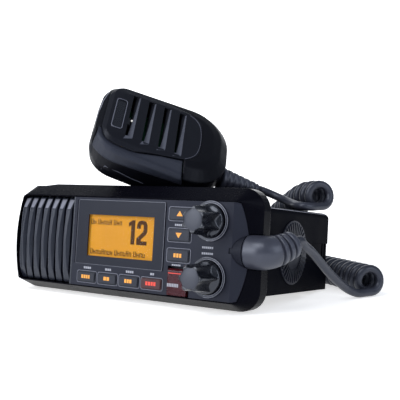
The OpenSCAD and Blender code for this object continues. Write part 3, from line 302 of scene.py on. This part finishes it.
# Nodes whose finish differs from the rest of their slot
OWN = {
    "front_screws": screw_black, "distress_key": distress_red, "cord_collar": collar_grey,
    "mic_capsule": package,
}
slots = {part["node"]: part["material_slot"] for part in frame["record"]["subparts"]}
for name, node in frame["nodes"].items():
    m = OWN.get(name) or BY_SLOT[slots[name]]
    if not node.data.materials:
        node.data.materials.append(m)
    for i in range(len(node.material_slots)):
        node.material_slots[i].material = m

# ---------------------------------------------------------------- making pieces


def piece(name, bm, m, smooth=None):
    """The bmesh as a piece, with its normals outward. smooth is the angle in degrees above which its edges
    stay sharp; without it, every face is flat."""
    bmesh.ops.recalc_face_normals(bm, faces=bm.faces)
    mesh = bpy.data.meshes.new(name)
    bm.to_mesh(mesh)
    bm.free()
    if smooth:
        mesh.polygons.foreach_set("use_smooth", [True] * len(mesh.polygons))
        mesh.set_sharp_from_angle(angle=math.radians(smooth))
    mesh.materials.append(m)
    made = bpy.data.objects.new(name, mesh)
    scene.collection.objects.link(made)
    return made


def headings(route):
    """The direction that the route has at each of its points."""
    last = len(route) - 1
    out = []
    for i, p in enumerate(route):
        before, after = route[max(i - 1, 0)], route[min(i + 1, last)]
        if 0 < i < last:
            out.append(((after - p).normalized() + (p - before).normalized()).normalized())
        else:
            out.append((after - before).normalized())
    return out


def spline(route, steps):
    """The smooth curve through the route's points, with so many steps from each point to the next."""
    out = []
    last = len(route) - 1
    for i in range(last):
        a, b, c, d = route[max(i - 1, 0)], route[i], route[i + 1], route[min(i + 2, last)]
        for k in range(steps):
            t = k / steps
            out.append(0.5 * (
                2 * b + (c - a) * t + (2 * a - 5 * b + 4 * c - d) * t * t + (3 * b - a - 3 * c + d) * t * t * t
            ))
    return out + [route[-1]]


def length(route):
    return sum((b - a).length for a, b in zip(route, route[1:]))


def swept(bm, route, radii, sides):
    """A round tube along a route in metres: a grid, rolled up row by row round the route's points, joined
    along its seam and closed at both ends."""
    rings, side = [], Vector((0, 0, 1))
    for p, t, r in zip(route, headings(route), radii):
        side = (side - side.dot(t) * t).normalized()
        rings.append((p, r * side, r * t.cross(side)))
    rows = len(route) - 1
    sheet = bmesh.ops.create_grid(bm, x_segments=sides, y_segments=rows, size=1)["verts"]
    for v in sheet:
        p, out, across = rings[round((v.co.y + 1) / 2 * rows)]
        a = (v.co.x + 1) / 2 * math.tau
        v.co = p + math.cos(a) * out + math.sin(a) * across
    bmesh.ops.remove_doubles(bm, verts=sheet, dist=1e-7)
    bmesh.ops.holes_fill(bm, edges=[e for e in bm.edges if e.is_boundary])


def line_of(name, routes, r, m, body="radio"):
    """Fine raised lines of radius r mm, along routes whose points are already in metres."""
    bm = bmesh.new()
    for route in routes:
        swept(bm, route, [r / 1000] * len(route), 8)
    made = piece(name, bm, m, 60)
    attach(made, body)
    return made


def plates(name, shapes, y, thick, m, place=on_radio, body="radio", rim=None):
    """Thin flat shapes that lie on a face: outlines in mm as (across, up), from y towards the viewer. With
    rim, only a rim of that width is kept of each."""
    bm = bmesh.new()
    for shape in shapes:
        face = bm.faces.new([bm.verts.new((u, y, v)) for u, v in shape])
        if rim:
            face.normal_update()
            bmesh.ops.inset_region(bm, faces=[face], thickness=rim, use_even_offset=True, use_boundary=True)
            bmesh.ops.delete(bm, geom=[face], context="FACES_ONLY")
    raised = bmesh.ops.extrude_face_region(bm, geom=bm.faces[:])["geom"]
    bmesh.ops.translate(bm, verts=[g for g in raised if isinstance(g, bmesh.types.BMVert)], vec=(0, -thick, 0))
    for v in bm.verts:
        v.co = place(v.co)
    made = piece(name, bm, m)
    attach(made, body)
    return made


def bar(x, z, w, h):
    return [(x - w / 2, z - h / 2), (x + w / 2, z - h / 2), (x + w / 2, z + h / 2), (x - w / 2, z + h / 2)]


def rounded_bar(x, z, w, h, r, steps=4):
    out = []
    for sx, sz, start in ((1, 1, 0), (-1, 1, 90), (-1, -1, 180), (1, -1, 270)):
        for k in range(steps + 1):
            a = math.radians(start + 90 * k / steps)
            out.append((x + sx * (w / 2 - r) + r * math.cos(a), z + sz * (h / 2 - r) + r * math.sin(a)))
    return out


def row(x, z, widths, h, gap=0.45):
    """A row of small blocks, centred on x, that stands where a printed word would."""
    out, at = [], x - (sum(widths) + gap * (len(widths) - 1)) / 2
    for w in widths:
        out.append(bar(at + w / 2, z, w, h))
        at += w + gap
    return out


# ---------------------------------------------------------------- cords

CORD_D = 5.2
CORD_R = CORD_D / 2
CORD_SIDES = 14
CURL_D = 18.6
CURL_PITCH = 5.9
# The solid's curls are 8 straight stretches a turn, and round curls of this radius follow them most closely
CURL_R = (CURL_D / 2 - CORD_R) / math.sqrt(math.cos(math.pi / 8))
CURL_STEPS = 24
# How far the curls may open on the outside of a bend
MOST_OPEN = 0.75

# The boot's middle line, from the collar on
BOOT = [bench_of(p) for p in (
    (80.3, 9.3, 32.7), (84, 9.3, 32.7), (88, 9.4, 32.7), (91, 11, 33), (93.4, 13.8, 33.8),
    (95.4, 17.2, 35), (97.3, 20.7, 36.6), (99, 24.1, 38.2),
)]
# The straight lead, from the boot down to the first curl
LEAD = [Vector(p) for p in (
    (101.6, 37.6, 36), (102.6, 45.8, 31.6), (103.6, 54.4, 25.8), (105.2, 64.4, 18.6),
    (107.2, 74.4, 12), (109.4, 83.2, 6.8), (112, 88.8, 3.9),
)]
# The axis that the curls wind round: along the bench behind the radio, a bow, and up beside it
AXIS = [Vector(p) for p in (
    (119, 102, 9.7), (101, 115, 9.7), (80, 130, 9.7), (58, 145, 9.7), (34, 159, 9.7), (8, 168, 9.7),
    (-18, 169, 9.7), (-38, 160, 9.7), (-43, 146, 9.9), (-33, 134, 10.8), (-12, 131, 15.4),
    (12, 132.5, 25.4), (34, 132, 38.4), (52, 124.5, 50.8), (70, 112.4, 60), (86.4, 101, 61.5),
)]
# The microphone's lead, from its strain relief to the last curl
MIC_ROUTE = [Vector(p) for p in (
    (53, 101.6, 60.4), (61.5, 99.8, 57.6), (69, 94.8, 56), (74.6, 89.8, 55.3), (79.2, 87.8, 54.9),
)]


def curls():
    """The curls' middle line, which opens where its axis bends, and its level headings at both ends."""
    line = spline(AXIS, 40)
    along = headings(line)
    last = len(line) - 1
    bends = [
        (along[i + 1] - along[i - 1]).length / (line[i + 1] - line[i - 1]).length if 0 < i < last else 0
        for i in range(last + 1)
    ]
    turns = [0.0]
    for i in range(last):
        bend = max(bends[min(max(i + k, 0), last)] for k in range(-4, 5))
        opened = 1 - min(MOST_OPEN, CURL_R * bend)
        turns.append(turns[-1] + 360 * (line[i + 1] - line[i]).length * opened / CURL_PITCH)
    whole = turns[-1] // 360 * 360
    turns = [a * whole / turns[-1] for a in turns]

    def at(a):
        i = max(j for j in range(last) if turns[j] <= a) if a > 0 else 0
        f = (a - turns[i]) / (turns[i + 1] - turns[i])
        t = along[i].lerp(along[i + 1], f).normalized()
        across = t.cross(Vector((0, 0, 1))).normalized()
        top = across.cross(t)
        a = math.radians(a)
        return line[i].lerp(line[i + 1], f) + CURL_R * (math.sin(a) * across - math.cos(a) * top)

    def level(v):
        return Vector((v.x, v.y, 0)).normalized()

    body = [at(min(k * 360 / CURL_STEPS, whole)) for k in range(round(whole / 360) * CURL_STEPS + 1)]
    return body, level(at(6) - at(0)), level(at(whole) - at(whole - 6))


curl_line, start_dir, end_dir = curls()
curl_start = curl_line[0] - CORD_D * start_dir
curl_end = curl_line[-1] + CORD_D * end_dir
boot_end = BOOT[-1]
boot_dir = (boot_end - BOOT[-2]).normalized()

# The cord's route starts inside the boot, straight on from it, and is kept from the boot's end on
STEPS = 8
lead = spline([boot_end - 4 * boot_dir, boot_end, boot_end + CORD_D * boot_dir, *LEAD,
               curl_start - CORD_D * start_dir, curl_start, curl_line[0]], STEPS)[STEPS:]
run = [on_bench(p) for p in lead + curl_line[1:] + [curl_end]]
bm = bmesh.new()
swept(bm, run, [CORD_R / 1000] * len(run), CORD_SIDES)
cord = piece("cord_run", bm, jacket, 60)
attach(cord, "radio")
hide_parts("cord_lead", "curly_cord")

MIC_L = 85.5
RELIEF_L = 29.9
relief_turn = Matrix.Rotation(math.radians(13.5), 3, "Z") @ Matrix.Rotation(math.radians(8), 3, "Y")
relief_at = Vector((MIC_L / 2 - 0.4, -8.7, -6.4))
relief_end = MIC_AT + MIC_TURN @ (relief_at + relief_turn @ Vector((RELIEF_L, 0, 0)))
relief_dir = MIC_TURN @ relief_turn @ Vector((1, 0, 0))
tail = spline([relief_end, relief_end + CORD_D * relief_dir, *MIC_ROUTE,
               curl_end + CORD_D * end_dir, curl_end], STEPS)
tail = [on_bench(p) for p in tail]
bm = bmesh.new()
swept(bm, tail, [CORD_R / 1000] * len(tail), CORD_SIDES)
mic_cord = piece("mic_cord", bm, jacket, 60)
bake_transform(mic_cord)
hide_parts("mic_lead")

# The elbow boot: a plain body, three grooves near its tip, and a mouth that closes round the lead
BOOT_R = 9.15
BOOT_PLAIN = 9
BOOT_TAPER = 0.1
BOOT_ROUND = 1.2
GROOVES = (11.4, 7.6, 3.8)
GROOVE_HALF = 1.0
GROOVE_DEEP = 1.7
boot_total = length(spline(BOOT, 10))


def boot_radius(s):
    """The boot's radius at s mm along it."""
    r = BOOT_R - max(0, s - BOOT_PLAIN) * BOOT_TAPER
    for from_tip in GROOVES:
        off = abs(s - (boot_total - from_tip))
        if off < GROOVE_HALF:
            r -= GROOVE_DEEP * (0.5 + 0.5 * math.cos(math.pi * off / GROOVE_HALF))
    into_end = max(0, BOOT_ROUND - s, s - boot_total + BOOT_ROUND)
    return r - 0.5 * into_end ** 2


dense = spline(BOOT, 24)
walked = [0.0]
for a, b in zip(dense, dense[1:]):
    walked.append(walked[-1] + (b - a).length)
boot_radii = [boot_radius(s) for s in walked]
# The mouth: over the rounded tip, down to the lead and a little way back along it
mouth = [(0.25, boot_radii[-1] * 0.82), (0.05, CORD_R * 1.12), (-1.2, CORD_R * 1.08)]
boot_line = [on_bench(p) for p in dense + [dense[-1] + s * boot_dir for s, _ in mouth]]
boot_radii += [r for _, r in mouth]
bm = bmesh.new()
swept(bm, boot_line, [r / 1000 for r in boot_radii], 40)
boot = piece("boot", bm, boot_grey, 50)
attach(boot, "radio")
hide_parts("cord_boot")

# The microphone's strain relief: six rounded ribs, each smaller than the last
RIBS = 6
RIB_R = 7.2
RIB_STEP = RELIEF_L / (RIBS + 0.3)
profile = [(-5.9, 3.3), (-0.2, 3.3), (-0.1, 6.4)]
for i in range(RIBS):
    a, r = i * RIB_STEP, RIB_R - i * 0.64
    profile += [(a + 0.15, r - 0.5), (a + 0.45, r - 0.12), (a + 0.9, r)]
    profile += [(a + s * RIB_STEP, r - deep) for s, deep in (
        (0.6, 0.12), (0.7, 0.35), (0.76, 0.9), (0.8, 1.45), (0.95, 1.5))]
profile += [(29.5, CORD_R + 0.8), (RELIEF_L, CORD_R + 0.45), (RELIEF_L, CORD_R + 0.12), (28.5, CORD_R + 0.1)]
bm = bmesh.new()
swept(bm, [on_mic(relief_at + relief_turn @ Vector((x, 0, 0))) for x, _ in profile],
      [r / 1000 for _, r in profile], 36)
relief = piece("mic_relief", bm, boot_grey, 50)
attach(relief, "microphone")
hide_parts("mic_strain_relief")

# ---------------------------------------------------------------- the display

GLASS_Y = 1.8
SEGMENT_Y = GLASS_Y - 0.02
SEGMENT_T = 0.1
# A large channel number of two figures, drawn round its middle, then enlarged and moved to its place
FIGURES = [
    # 1
    [(12.2, 28.9), (14.6, 28.9), (14.6, 41.4), (12.9, 41.4), (10.6, 40.0), (10.6, 37.9), (12.2, 38.8)],
    # 2
    [(15.9, 28.9), (22.4, 28.9), (22.4, 30.9), (18.7, 30.9), (18.7, 31.8), (21.6, 34.2), (22.4, 35.7),
     (22.4, 39.2), (21.4, 40.9), (19.9, 41.4), (18.3, 41.4), (16.7, 40.8), (15.9, 39.2), (15.9, 37.2),
     (18.2, 37.2), (18.2, 38.7), (18.7, 39.4), (19.6, 39.4), (20.1, 38.8), (20.1, 36.4), (19.6, 35.5),
     (15.9, 32.2)],
]
FIGURES_MID = (17.3, 35.1)
FIGURES_TO = (12.6, 39.1)
ENLARGED = 1.13
number = [
    [tuple(to + (c - mid) * ENLARGED for c, mid, to in zip(p, FIGURES_MID, FIGURES_TO)) for p in figure]
    for figure in FIGURES
]
plates("display_number", number, SEGMENT_Y, SEGMENT_T, segment_brown)

# Two rows of small figures with no meaning, in groups: two uprights each and a bar at one of three heights
LINE_W = 0.42
SMALL_H = 2.5
TALL_H = 3.3
small = []
for x, foot, groups in ((-22.6, 44.3, (2, 5, 3)), (-22.0, 26.6, (8, 6, 4))):
    for count in groups:
        for k in range(count):
            h = TALL_H if k in (0, 4) else SMALL_H
            z = foot - (TALL_H - h) / 2
            low = 0.2 * (k % 2)
            small.append(bar(x - 0.6, z, LINE_W, h))
            small.append(bar(x + 0.6, z - low, LINE_W, h - 2 * low))
            small.append(bar(x, z + (-0.5, 0, 0.5)[k % 3] * (h - LINE_W), 1.0, LINE_W))
            x += 2.15
        x += 1.1
plates("display_rows", small, SEGMENT_Y, SEGMENT_T, segment_brown)

# ---------------------------------------------------------------- keys, print and painted rim highlights on the panel

# How far the keys' faces and the emergency cover's face stand out, and how thick the print on them is
KEY_Y = -1.19
COVER_Y = -1.39
LEGEND_T = 0.07
PRINT_T = 0.06
ROW_KEYS = [-22.9 + 15.9 * i for i in range(4)]
ROW_KEY_Z = 11
SIDE_KEYS_X = 41.8
SIDE_KEYS = (51, 39.3, 28.1)

# Legends lit through the row keys
LEGENDS = ((1.4, 1.4, 1.2, 1.2), (1.9, 1.9), (1.5, 1.3, 1.5), (1.5, 1.5, 1.3, 1.5))
for i, (x, widths) in enumerate(zip(ROW_KEYS, LEGENDS)):
    plates(f"row_key_{i + 1}_legend", row(x, 11.1, widths, 2.1, 0.4), KEY_Y, LEGEND_T,
           red_print_and_lip_highlight if i == 3 else print_amber, body=f"row_key_{i + 1}_body")

# Pale print: over the row keys, beside the side keys, between the knobs, and two dots
pale = []
for x, widths in zip(ROW_KEYS, ((1.3, 1.0, 1.2, 1.1), (1.4, 1.2, 1.1), (1.1, 1.1, 1.1, 1.1), (1.2, 1.1))):
    pale += row(x, 16.4, widths, 1.25, 0.3)
for x, z, h, widths in (
    (41.8, 44.9, 1.1, (0.9, 0.9, 1.0, 1.0, 0.9, 0.9)),
    (40.6, 22.7, 0.9, (0.9, 0.9, 1.0, 0.9, 0.9)),
    (60.2, 33.6, 1.1, (0.9, 0.9, 1.0, 0.9, 0.9, 0.9)),
    (60.2, 30.4, 1.1, (0.9, 1.0, 0.9, 0.9, 0.9, 1.0)),
):
    pale += row(x, z, widths, h, 0.28)
for x, z in ((43.0, 48.3), (47.2, 22.9)):
    pale.append(rounded_bar(x, z, 0.9, 0.9, 0.44))
plates("panel_print", pale, 0.01, 0.05, print_pale)

# Arrows on the two upper side keys, and blocks on the third
for key, shapes in (
    ("up_key", [[(39.8, 49.8), (43.8, 49.8), (41.8, 52.7)]]),
    ("down_key", [[(39.8, 40.6), (41.8, 37.7), (43.8, 40.6)]]),
    ("enter_key", row(SIDE_KEYS_X, 28.1, (1.4, 1.4, 1.3), 2.2, 0.5)),
):
    plates(f"{key}_mark", shapes, KEY_Y, LEGEND_T, print_amber, body=f"{key}_body")

# Print on the emergency cover, and a painted highlight along its upper lip
plates("distress_cover_print", row(39.9, 11.6, (0.8,) * 7, 1.9, 0.3), COVER_Y, PRINT_T, print_pale,
       body="distress_cover_body")
plates("distress_cover_lip_highlight", [bar(42.4, 18.2, 11.6, 0.45)], COVER_Y, PRINT_T, red_print_and_lip_highlight,
       body="distress_cover_body")

# Pale rims round each key's opening and round the window plate, painted highlights of the openings' edges;
# both start in the panel
SUNK = 0.08
ROUND_KEY = 1.4
openings = [(x, ROW_KEY_Z, 14, 6) for x in ROW_KEYS] + [(SIDE_KEYS_X, z, 14.6, 6.8) for z in SIDE_KEYS]
plates("key_opening_highlights", [rounded_bar(x, z, w + ROUND_KEY, h + ROUND_KEY, 1.4) for x, z, w, h in openings],
       SUNK, 0.2 + SUNK, key_line_highlight, rim=0.42)
plates("window_plate_highlight", [rounded_bar(-0.6, 37.9, 64.1, 38.7, 1.0)], SUNK, 0.1 + SUNK, facet_highlight_grey, rim=0.3)

# ---------------------------------------------------------------- knobs

KNOB_X = 61.5
VOLUME_Z = 48
SQUELCH_Z = 17.7
# The profile as (reach, radius): skirt, shoulder, and a body that narrows to a softly domed end
KNOB_SKIRT = [(0.45, 0), (0.45, 8.6), (0.7, 8.9), (3.1, 8.9), (3.5, 8.75), (3.9, 8.45)]
KNOB_BODY = [(s, 8.4 - (s - 4) * 0.082) for s in (4.4, 4.8, 5.2, 5.7, 6.3, 7, 8, 10, 12, 14, 16, 17.4, 18.2)]
KNOB_END = [(18.75, 6.9), (18.9, 6.5), (18.88, 6.0), (18.7, 5.75), (18.78, 5.5), (19.0, 4.6), (19.18, 3.2),
            (19.27, 1.6), (19.3, 0)]
KNOB_STEPS = 144
# Six finger scoops: round cuts whose centres stand SCOOP_AT out, and that start at SCOOP_FROM along the knob
SCOOPS = 6
SCOOP_AT = 9.75
SCOOP_R = 4.3
SCOOP_HALF = 0.455
SCOOP_FROM = 4.1
SCOOP_RUN = 2.6
# Radius in metres round the knob's end within which its faces are painted paler, a painted highlight
HIGHLIGHT_END_R = 0.0056


def knob(name, z, phase, body, node):
    """A lobed knob: its profile spun round, then pushed in along its scoops, with its domed end painted paler
    as a painted highlight.
    """
    bm = bmesh.new()
    line = [bm.verts.new((r, -s, 0)) for s, r in KNOB_SKIRT + KNOB_BODY + KNOB_END]
    edges = [bm.edges.new(pair) for pair in zip(line, line[1:])]
    bmesh.ops.spin(bm, geom=line + edges, axis=(0, 1, 0), cent=(0, 0, 0), steps=KNOB_STEPS, angle=math.tau,
                   use_merge=True)
    bmesh.ops.remove_doubles(bm, verts=bm.verts, dist=0.001)
    sector = math.tau / SCOOPS
    for v in bm.verts:
        r, a = math.hypot(v.co.x, v.co.z), math.atan2(v.co.z, v.co.x)
        off = (a - phase + sector / 2) % sector - sector / 2
        if v.co.y < -SCOOP_FROM and abs(off) < SCOOP_HALF:
            scoop = SCOOP_AT * math.cos(off) - math.sqrt(SCOOP_R ** 2 - (SCOOP_AT * math.sin(off)) ** 2)
            if scoop < r:
                deep = min(1.0, (-v.co.y - SCOOP_FROM) / SCOOP_RUN)
                scooped = r - (r - scoop) * math.sqrt(1 - (1 - deep) ** 2)
                v.co.x, v.co.z = scooped * math.cos(a), scooped * math.sin(a)
    for v in bm.verts:
        v.co = on_radio((v.co.x + KNOB_X, v.co.y, v.co.z + z))
    made = piece(name, bm, knob_black, 32)
    made.data.materials.append(knob_end_highlight)
    # Faces round the middle of the domed end take the paler finish, a painted highlight
    tip = on_radio((KNOB_X, -19.1, z))
    for f in made.data.polygons:
        if (f.center - tip).length < HIGHLIGHT_END_R:
            f.material_index = 1
    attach(made, body)
    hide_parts(node)


knob("volume_knob_lobed", VOLUME_Z, 0.0, "volume_turn", "volume_knob")
knob("squelch_knob_lobed", SQUELCH_Z, math.pi / 6, "squelch_turn", "squelch_knob")

# Two pale arcs on each ring, painted highlights, on the side where it shows beside its knob
rings = []
for z in (VOLUME_Z, SQUELCH_Z):
    for r in (9.75, 10.75):
        turn = [math.radians(-100 + 6 * k) for k in range(36)]
        rings.append([on_radio((KNOB_X + r * math.cos(a), -1.2, z + r * math.sin(a))) for a in turn])
line_of("ring_highlight_arcs", rings, 0.2, highlight_line_grey)

# ---------------------------------------------------------------- painted highlights on the chassis's edges and the grille

# Painted highlights along the chassis's long upper edges
line_of("chassis_edge_highlights", [[on_radio((x, y, 57.15)) for y in (24, 50, 80, 106)] for x in (84.65, -84.65)],
        0.24, highlight_line_grey)

# A painted highlight along the crest of each slat, and a paler painted highlight on its sloping top end
SLATS = 7
SLAT_X = -78.7
SLAT_PITCH = 6.2
# A slat's front seen from the side, as (up, away from the user)
SLAT_SIDE = [
    (12.5, 1.2), (17, 0.35), (22.6, -0.3), (28, -0.55), (34, -0.6), (41.6, -0.3), (46, 0.15), (50.6, 0.6),
]
TIP_FOOT, TIP_Y, TIP_SLOPE = 50.6, 0.6, 0.5135
crest_highlight_routes, tip_highlight_shapes = [], []
for i in range(SLATS):
    x = SLAT_X + SLAT_PITCH * i
    # The first slat, next to the housing, is lower than the rest
    front = -0.1 if i == 0 else -0.6
    crest_highlight_routes.append([on_radio((x - 1.0, max(y, front), z)) for z, y in SLAT_SIDE])
    tip_highlight_shapes.append([(x - 1.0, 51.0), (x + 1.5, 51.0), (x + 2.0, 56.9), (x - 1.5, 56.9)])
line_of("slat_crest_highlights", crest_highlight_routes, 0.2, facet_highlight_grey)
plates("slat_tip_highlights", tip_highlight_shapes, 0.0, 0.1, highlight_line_grey,
       place=lambda p: on_radio((p[0], p[1] + TIP_Y + (p[2] - TIP_FOOT) * TIP_SLOPE, p[2])))

# ---------------------------------------------------------------- small details on the microphone

MIC_FACE = 9.8
# Where each louvre starts, along the microphone
LOUVRES = (-24.8, -14.4, -4.0, 6.4)


def on_cover(x, y, above=0.0):
    """The point of the microphone's front that lies over its own x, y, raised by so many mm."""
    down = MIC_TURN @ Vector((0, 0, -1))
    start = on_mic((x, y, MIC_FACE + 6))
    best = None
    for n in ("mic_front_cover", "mic_rear_shell"):
        hit, at, _, _ = frame["nodes"][n].ray_cast(start, down)
        if hit and (best is None or (at - start).length < (best - start).length):
            best = at
    return best - down * above / 1000


def on_louvre(p):
    """The place of a plate's point on the sloping side of its louvre."""
    into = p[0] - max(x for x in LOUVRES if x < p[0])
    return on_mic((p[0] + 0.6 * p[1], p[2], 7.0 + (into - 0.9) / 3.7 * 2.8 - 0.8 * p[1]))


# A fine pale bead along the cover's parting line, round its lower end: a painted highlight
BEAD_HIGHLIGHT = [(13.4, 19.9), (17.4, 17.9), (20.6, 13.6), (22.0, 7), (22.4, 0), (22.0, -7), (20.4, -13.8),
        (17.2, -18.4), (12.4, -22.2)]
bead_highlight_route = spline([Vector((x, y, 0)) for x, y in BEAD_HIGHLIGHT], 6)
line_of("cover_bead_highlight", [[on_cover(p.x, p.y, 0.02) for p in bead_highlight_route]], 0.22, rim_highlight_grey, "microphone")

# Painted highlights along the moulded edge round the microphone's top end, and along the seam of the panel
# under its lever
EDGE_HIGHLIGHT = [(-39.2, 21.6, 4.9), (-40.7, 15.5, 5.4), (-42.0, 9.6, 4.7), (-42.4, 2.7, 4.3), (-42.7, -2.1, 3.4),
        (-42.6, -9, 3)]
SEAM_HIGHLIGHT = [(-30.6, -27.2, -15.5), (-29.4, -29.0, -10.5), (-20.8, -30.2, -10.4), (-12.7, -30.6, -11.6),
        (-4.3, -31.1, -11.8)]
line_of("mic_edge_highlights", [[on_mic(p) for p in EDGE_HIGHLIGHT]], 0.34, highlight_line_grey, "microphone")
line_of("mic_seam_highlight", [[on_mic(p) for p in SEAM_HIGHLIGHT]], 0.28, rim_highlight_grey, "microphone")

# Painted highlights on the facets beside the louvres, widest near their lower ends, where each turns aside
facet_highlight_shapes = [
    [(x + 3.9, 18.6), (x + 4.6, 19.0), (x + 4.65, -19.0), (x + 1.6, -18.6), (x + 2.6, -8), (x + 3.4, 6)]
    for x in LOUVRES
]
plates("louvre_facet_highlights", facet_highlight_shapes, 0.1, 0.16, facet_highlight_grey, place=on_louvre, body="microphone")
end_highlight_shapes = [[(x - 0.6, -22.2), (x + 4.5, -20.2), (x + 4.7, -19.1), (x + 0.4, -19.35)] for x in LOUVRES]
plates("louvre_end_highlights", end_highlight_shapes, 0.1, 0.15, facet_highlight_grey, place=lambda p: on_cover(p[0], p[2], -p[1]),
       body="microphone")

# Pale rim round the blank nameplate: a painted highlight
NAMEPLATE_SUNK = 0.7
plates("nameplate_rim_highlight", [rounded_bar(-31, -2.1, 6.9, 27.3, 1.9)], NAMEPLATE_SUNK - MIC_FACE,
       0.15 + NAMEPLATE_SUNK, key_line_highlight, place=lambda p: on_mic((p[0], p[2], -p[1])), body="microphone",
       rim=0.45)

# Transmit lamp, a small white dome in the first louvre
bm = bmesh.new()
bmesh.ops.create_uvsphere(bm, u_segments=20, v_segments=12, radius=0.0006)
bmesh.ops.translate(bm, verts=bm.verts, vec=on_mic((-22.5, -3.4, 8.25)))
lamp = piece("transmit_lamp", bm, lamp_white, 60)
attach(lamp, "microphone")

# ---------------------------------------------------------------- floor, backdrop and light


def paper_white(name, lift):
    """Pale studio paper: matt and faintly mottled. lift is how much brighter than lit it shows near the
    middle, to the camera and in reflections alone, so that the object's own light stays plain."""
    m = bpy.data.materials.new(name)
    m.use_nodes = True
    t = m.node_tree
    t.nodes.remove(t.nodes["Principled BSDF"])
    place = add(t, "ShaderNodeTexCoord").outputs["Object"]
    mottle = add(t, "ShaderNodeTexNoise", {"Vector": place, "Scale": 3.0, "Detail": 2.0})
    tone = add(t, "ShaderNodeValToRGB", {"Fac": mottle.outputs["Fac"]})
    tone.color_ramp.elements[0].color = (0.86, 0.86, 0.865, 1)
    tone.color_ramp.elements[1].color = (0.9, 0.9, 0.9, 1)
    matt = add(t, "ShaderNodeBsdfDiffuse", {"Color": tone.outputs["Color"]})
    reach = add(t, "ShaderNodeVectorMath", {0: place}, operation="LENGTH")
    far = add(t, "ShaderNodeMapRange", {
        "Value": reach.outputs["Value"], "From Min": 0.2, "From Max": 0.6, "To Min": lift, "To Max": 1.05,
    })
    glow = add(t, "ShaderNodeEmission", {"Color": tone.outputs["Color"], "Strength": far.outputs["Result"]})
    both = add(t, "ShaderNodeAddShader", {0: matt.outputs[0], 1: glow.outputs[0]})
    path = add(t, "ShaderNodeLightPath").outputs
    seen = path["Is Camera Ray"]
    for ray in ("Is Glossy Ray", "Is Transmission Ray"):
        seen = add(t, "ShaderNodeMath", {0: seen, 1: path[ray]}, operation="MAXIMUM").outputs[0]
    chosen = add(t, "ShaderNodeMixShader", {"Fac": seen, 1: matt.outputs[0], 2: both.outputs[0]})
    t.links.new(chosen.outputs[0], t.nodes["Material Output"].inputs["Surface"])
    return m


def staged(name, bm, m):
    """The bmesh as a part of the studio."""
    mesh = bpy.data.meshes.new(name)
    bm.to_mesh(mesh)
    bm.free()
    mesh.materials.append(m)
    made = bpy.data.objects.new(name, mesh)
    scene.collection.objects.link(made)
    return made


FLOOR_R = 0.8
UNDER_FEET = 0.0003
bm = bmesh.new()
bmesh.ops.create_circle(bm, cap_ends=True, segments=96, radius=FLOOR_R)
floor = staged("floor", bm, paper_white("floor_paper", 0.7))
floor.location = (0, 0, -UNDER_FEET)

WALL_AWAY = 0.72
WALL_HALF = 0.46
WALL_FOOT, WALL_TOP = -0.01, 0.7
away = Vector((ahead.x, ahead.y, 0)).normalized() * WALL_AWAY
across = Vector((right.x, right.y, 0)).normalized() * WALL_HALF
bm = bmesh.new()
corners = ((-1, WALL_FOOT), (1, WALL_FOOT), (1, WALL_TOP), (-1, WALL_TOP))
bm.faces.new([bm.verts.new(away + s * across + Vector((0, 0, z))) for s, z in corners])
staged("backdrop", bm, paper_white("backdrop_paper", 1.0))

world = bpy.data.worlds.new("studio")
scene.world = world
world.use_nodes = True
sky = world.node_tree.nodes["Background"].inputs
sky["Color"].default_value = (0.78, 0.86, 1, 1)
sky["Strength"].default_value = 0.34


def softbox(name, at, to, size, watts, colour=(1, 1, 1)):
    """A soft studio lamp that faces a point."""
    data = bpy.data.lights.new(name, "AREA")
    data.shape = "RECTANGLE"
    data.size, data.size_y = size
    data.energy = watts
    data.color = colour
    lamp = bpy.data.objects.new(name, data)
    lamp.location = at
    lamp.rotation_euler = (Vector(to) - Vector(at)).to_track_quat("-Z", "Y").to_euler()
    scene.collection.objects.link(lamp)


MIDDLE = (0, 0, 0.05)
softbox("key_lamp", at=(-0.5, -1.02, 0.4), to=MIDDLE, size=(0.7, 0.7), watts=7)
softbox("top_lamp", at=(-0.12, -0.8, 1.05), to=MIDDLE, size=(0.9, 0.6), watts=7)
softbox("side_lamp", at=(1.0, -0.2, 0.45), to=(0.05, 0.02, 0.05), size=(0.4, 0.7), watts=2.6,
        colour=(0.92, 0.95, 1))
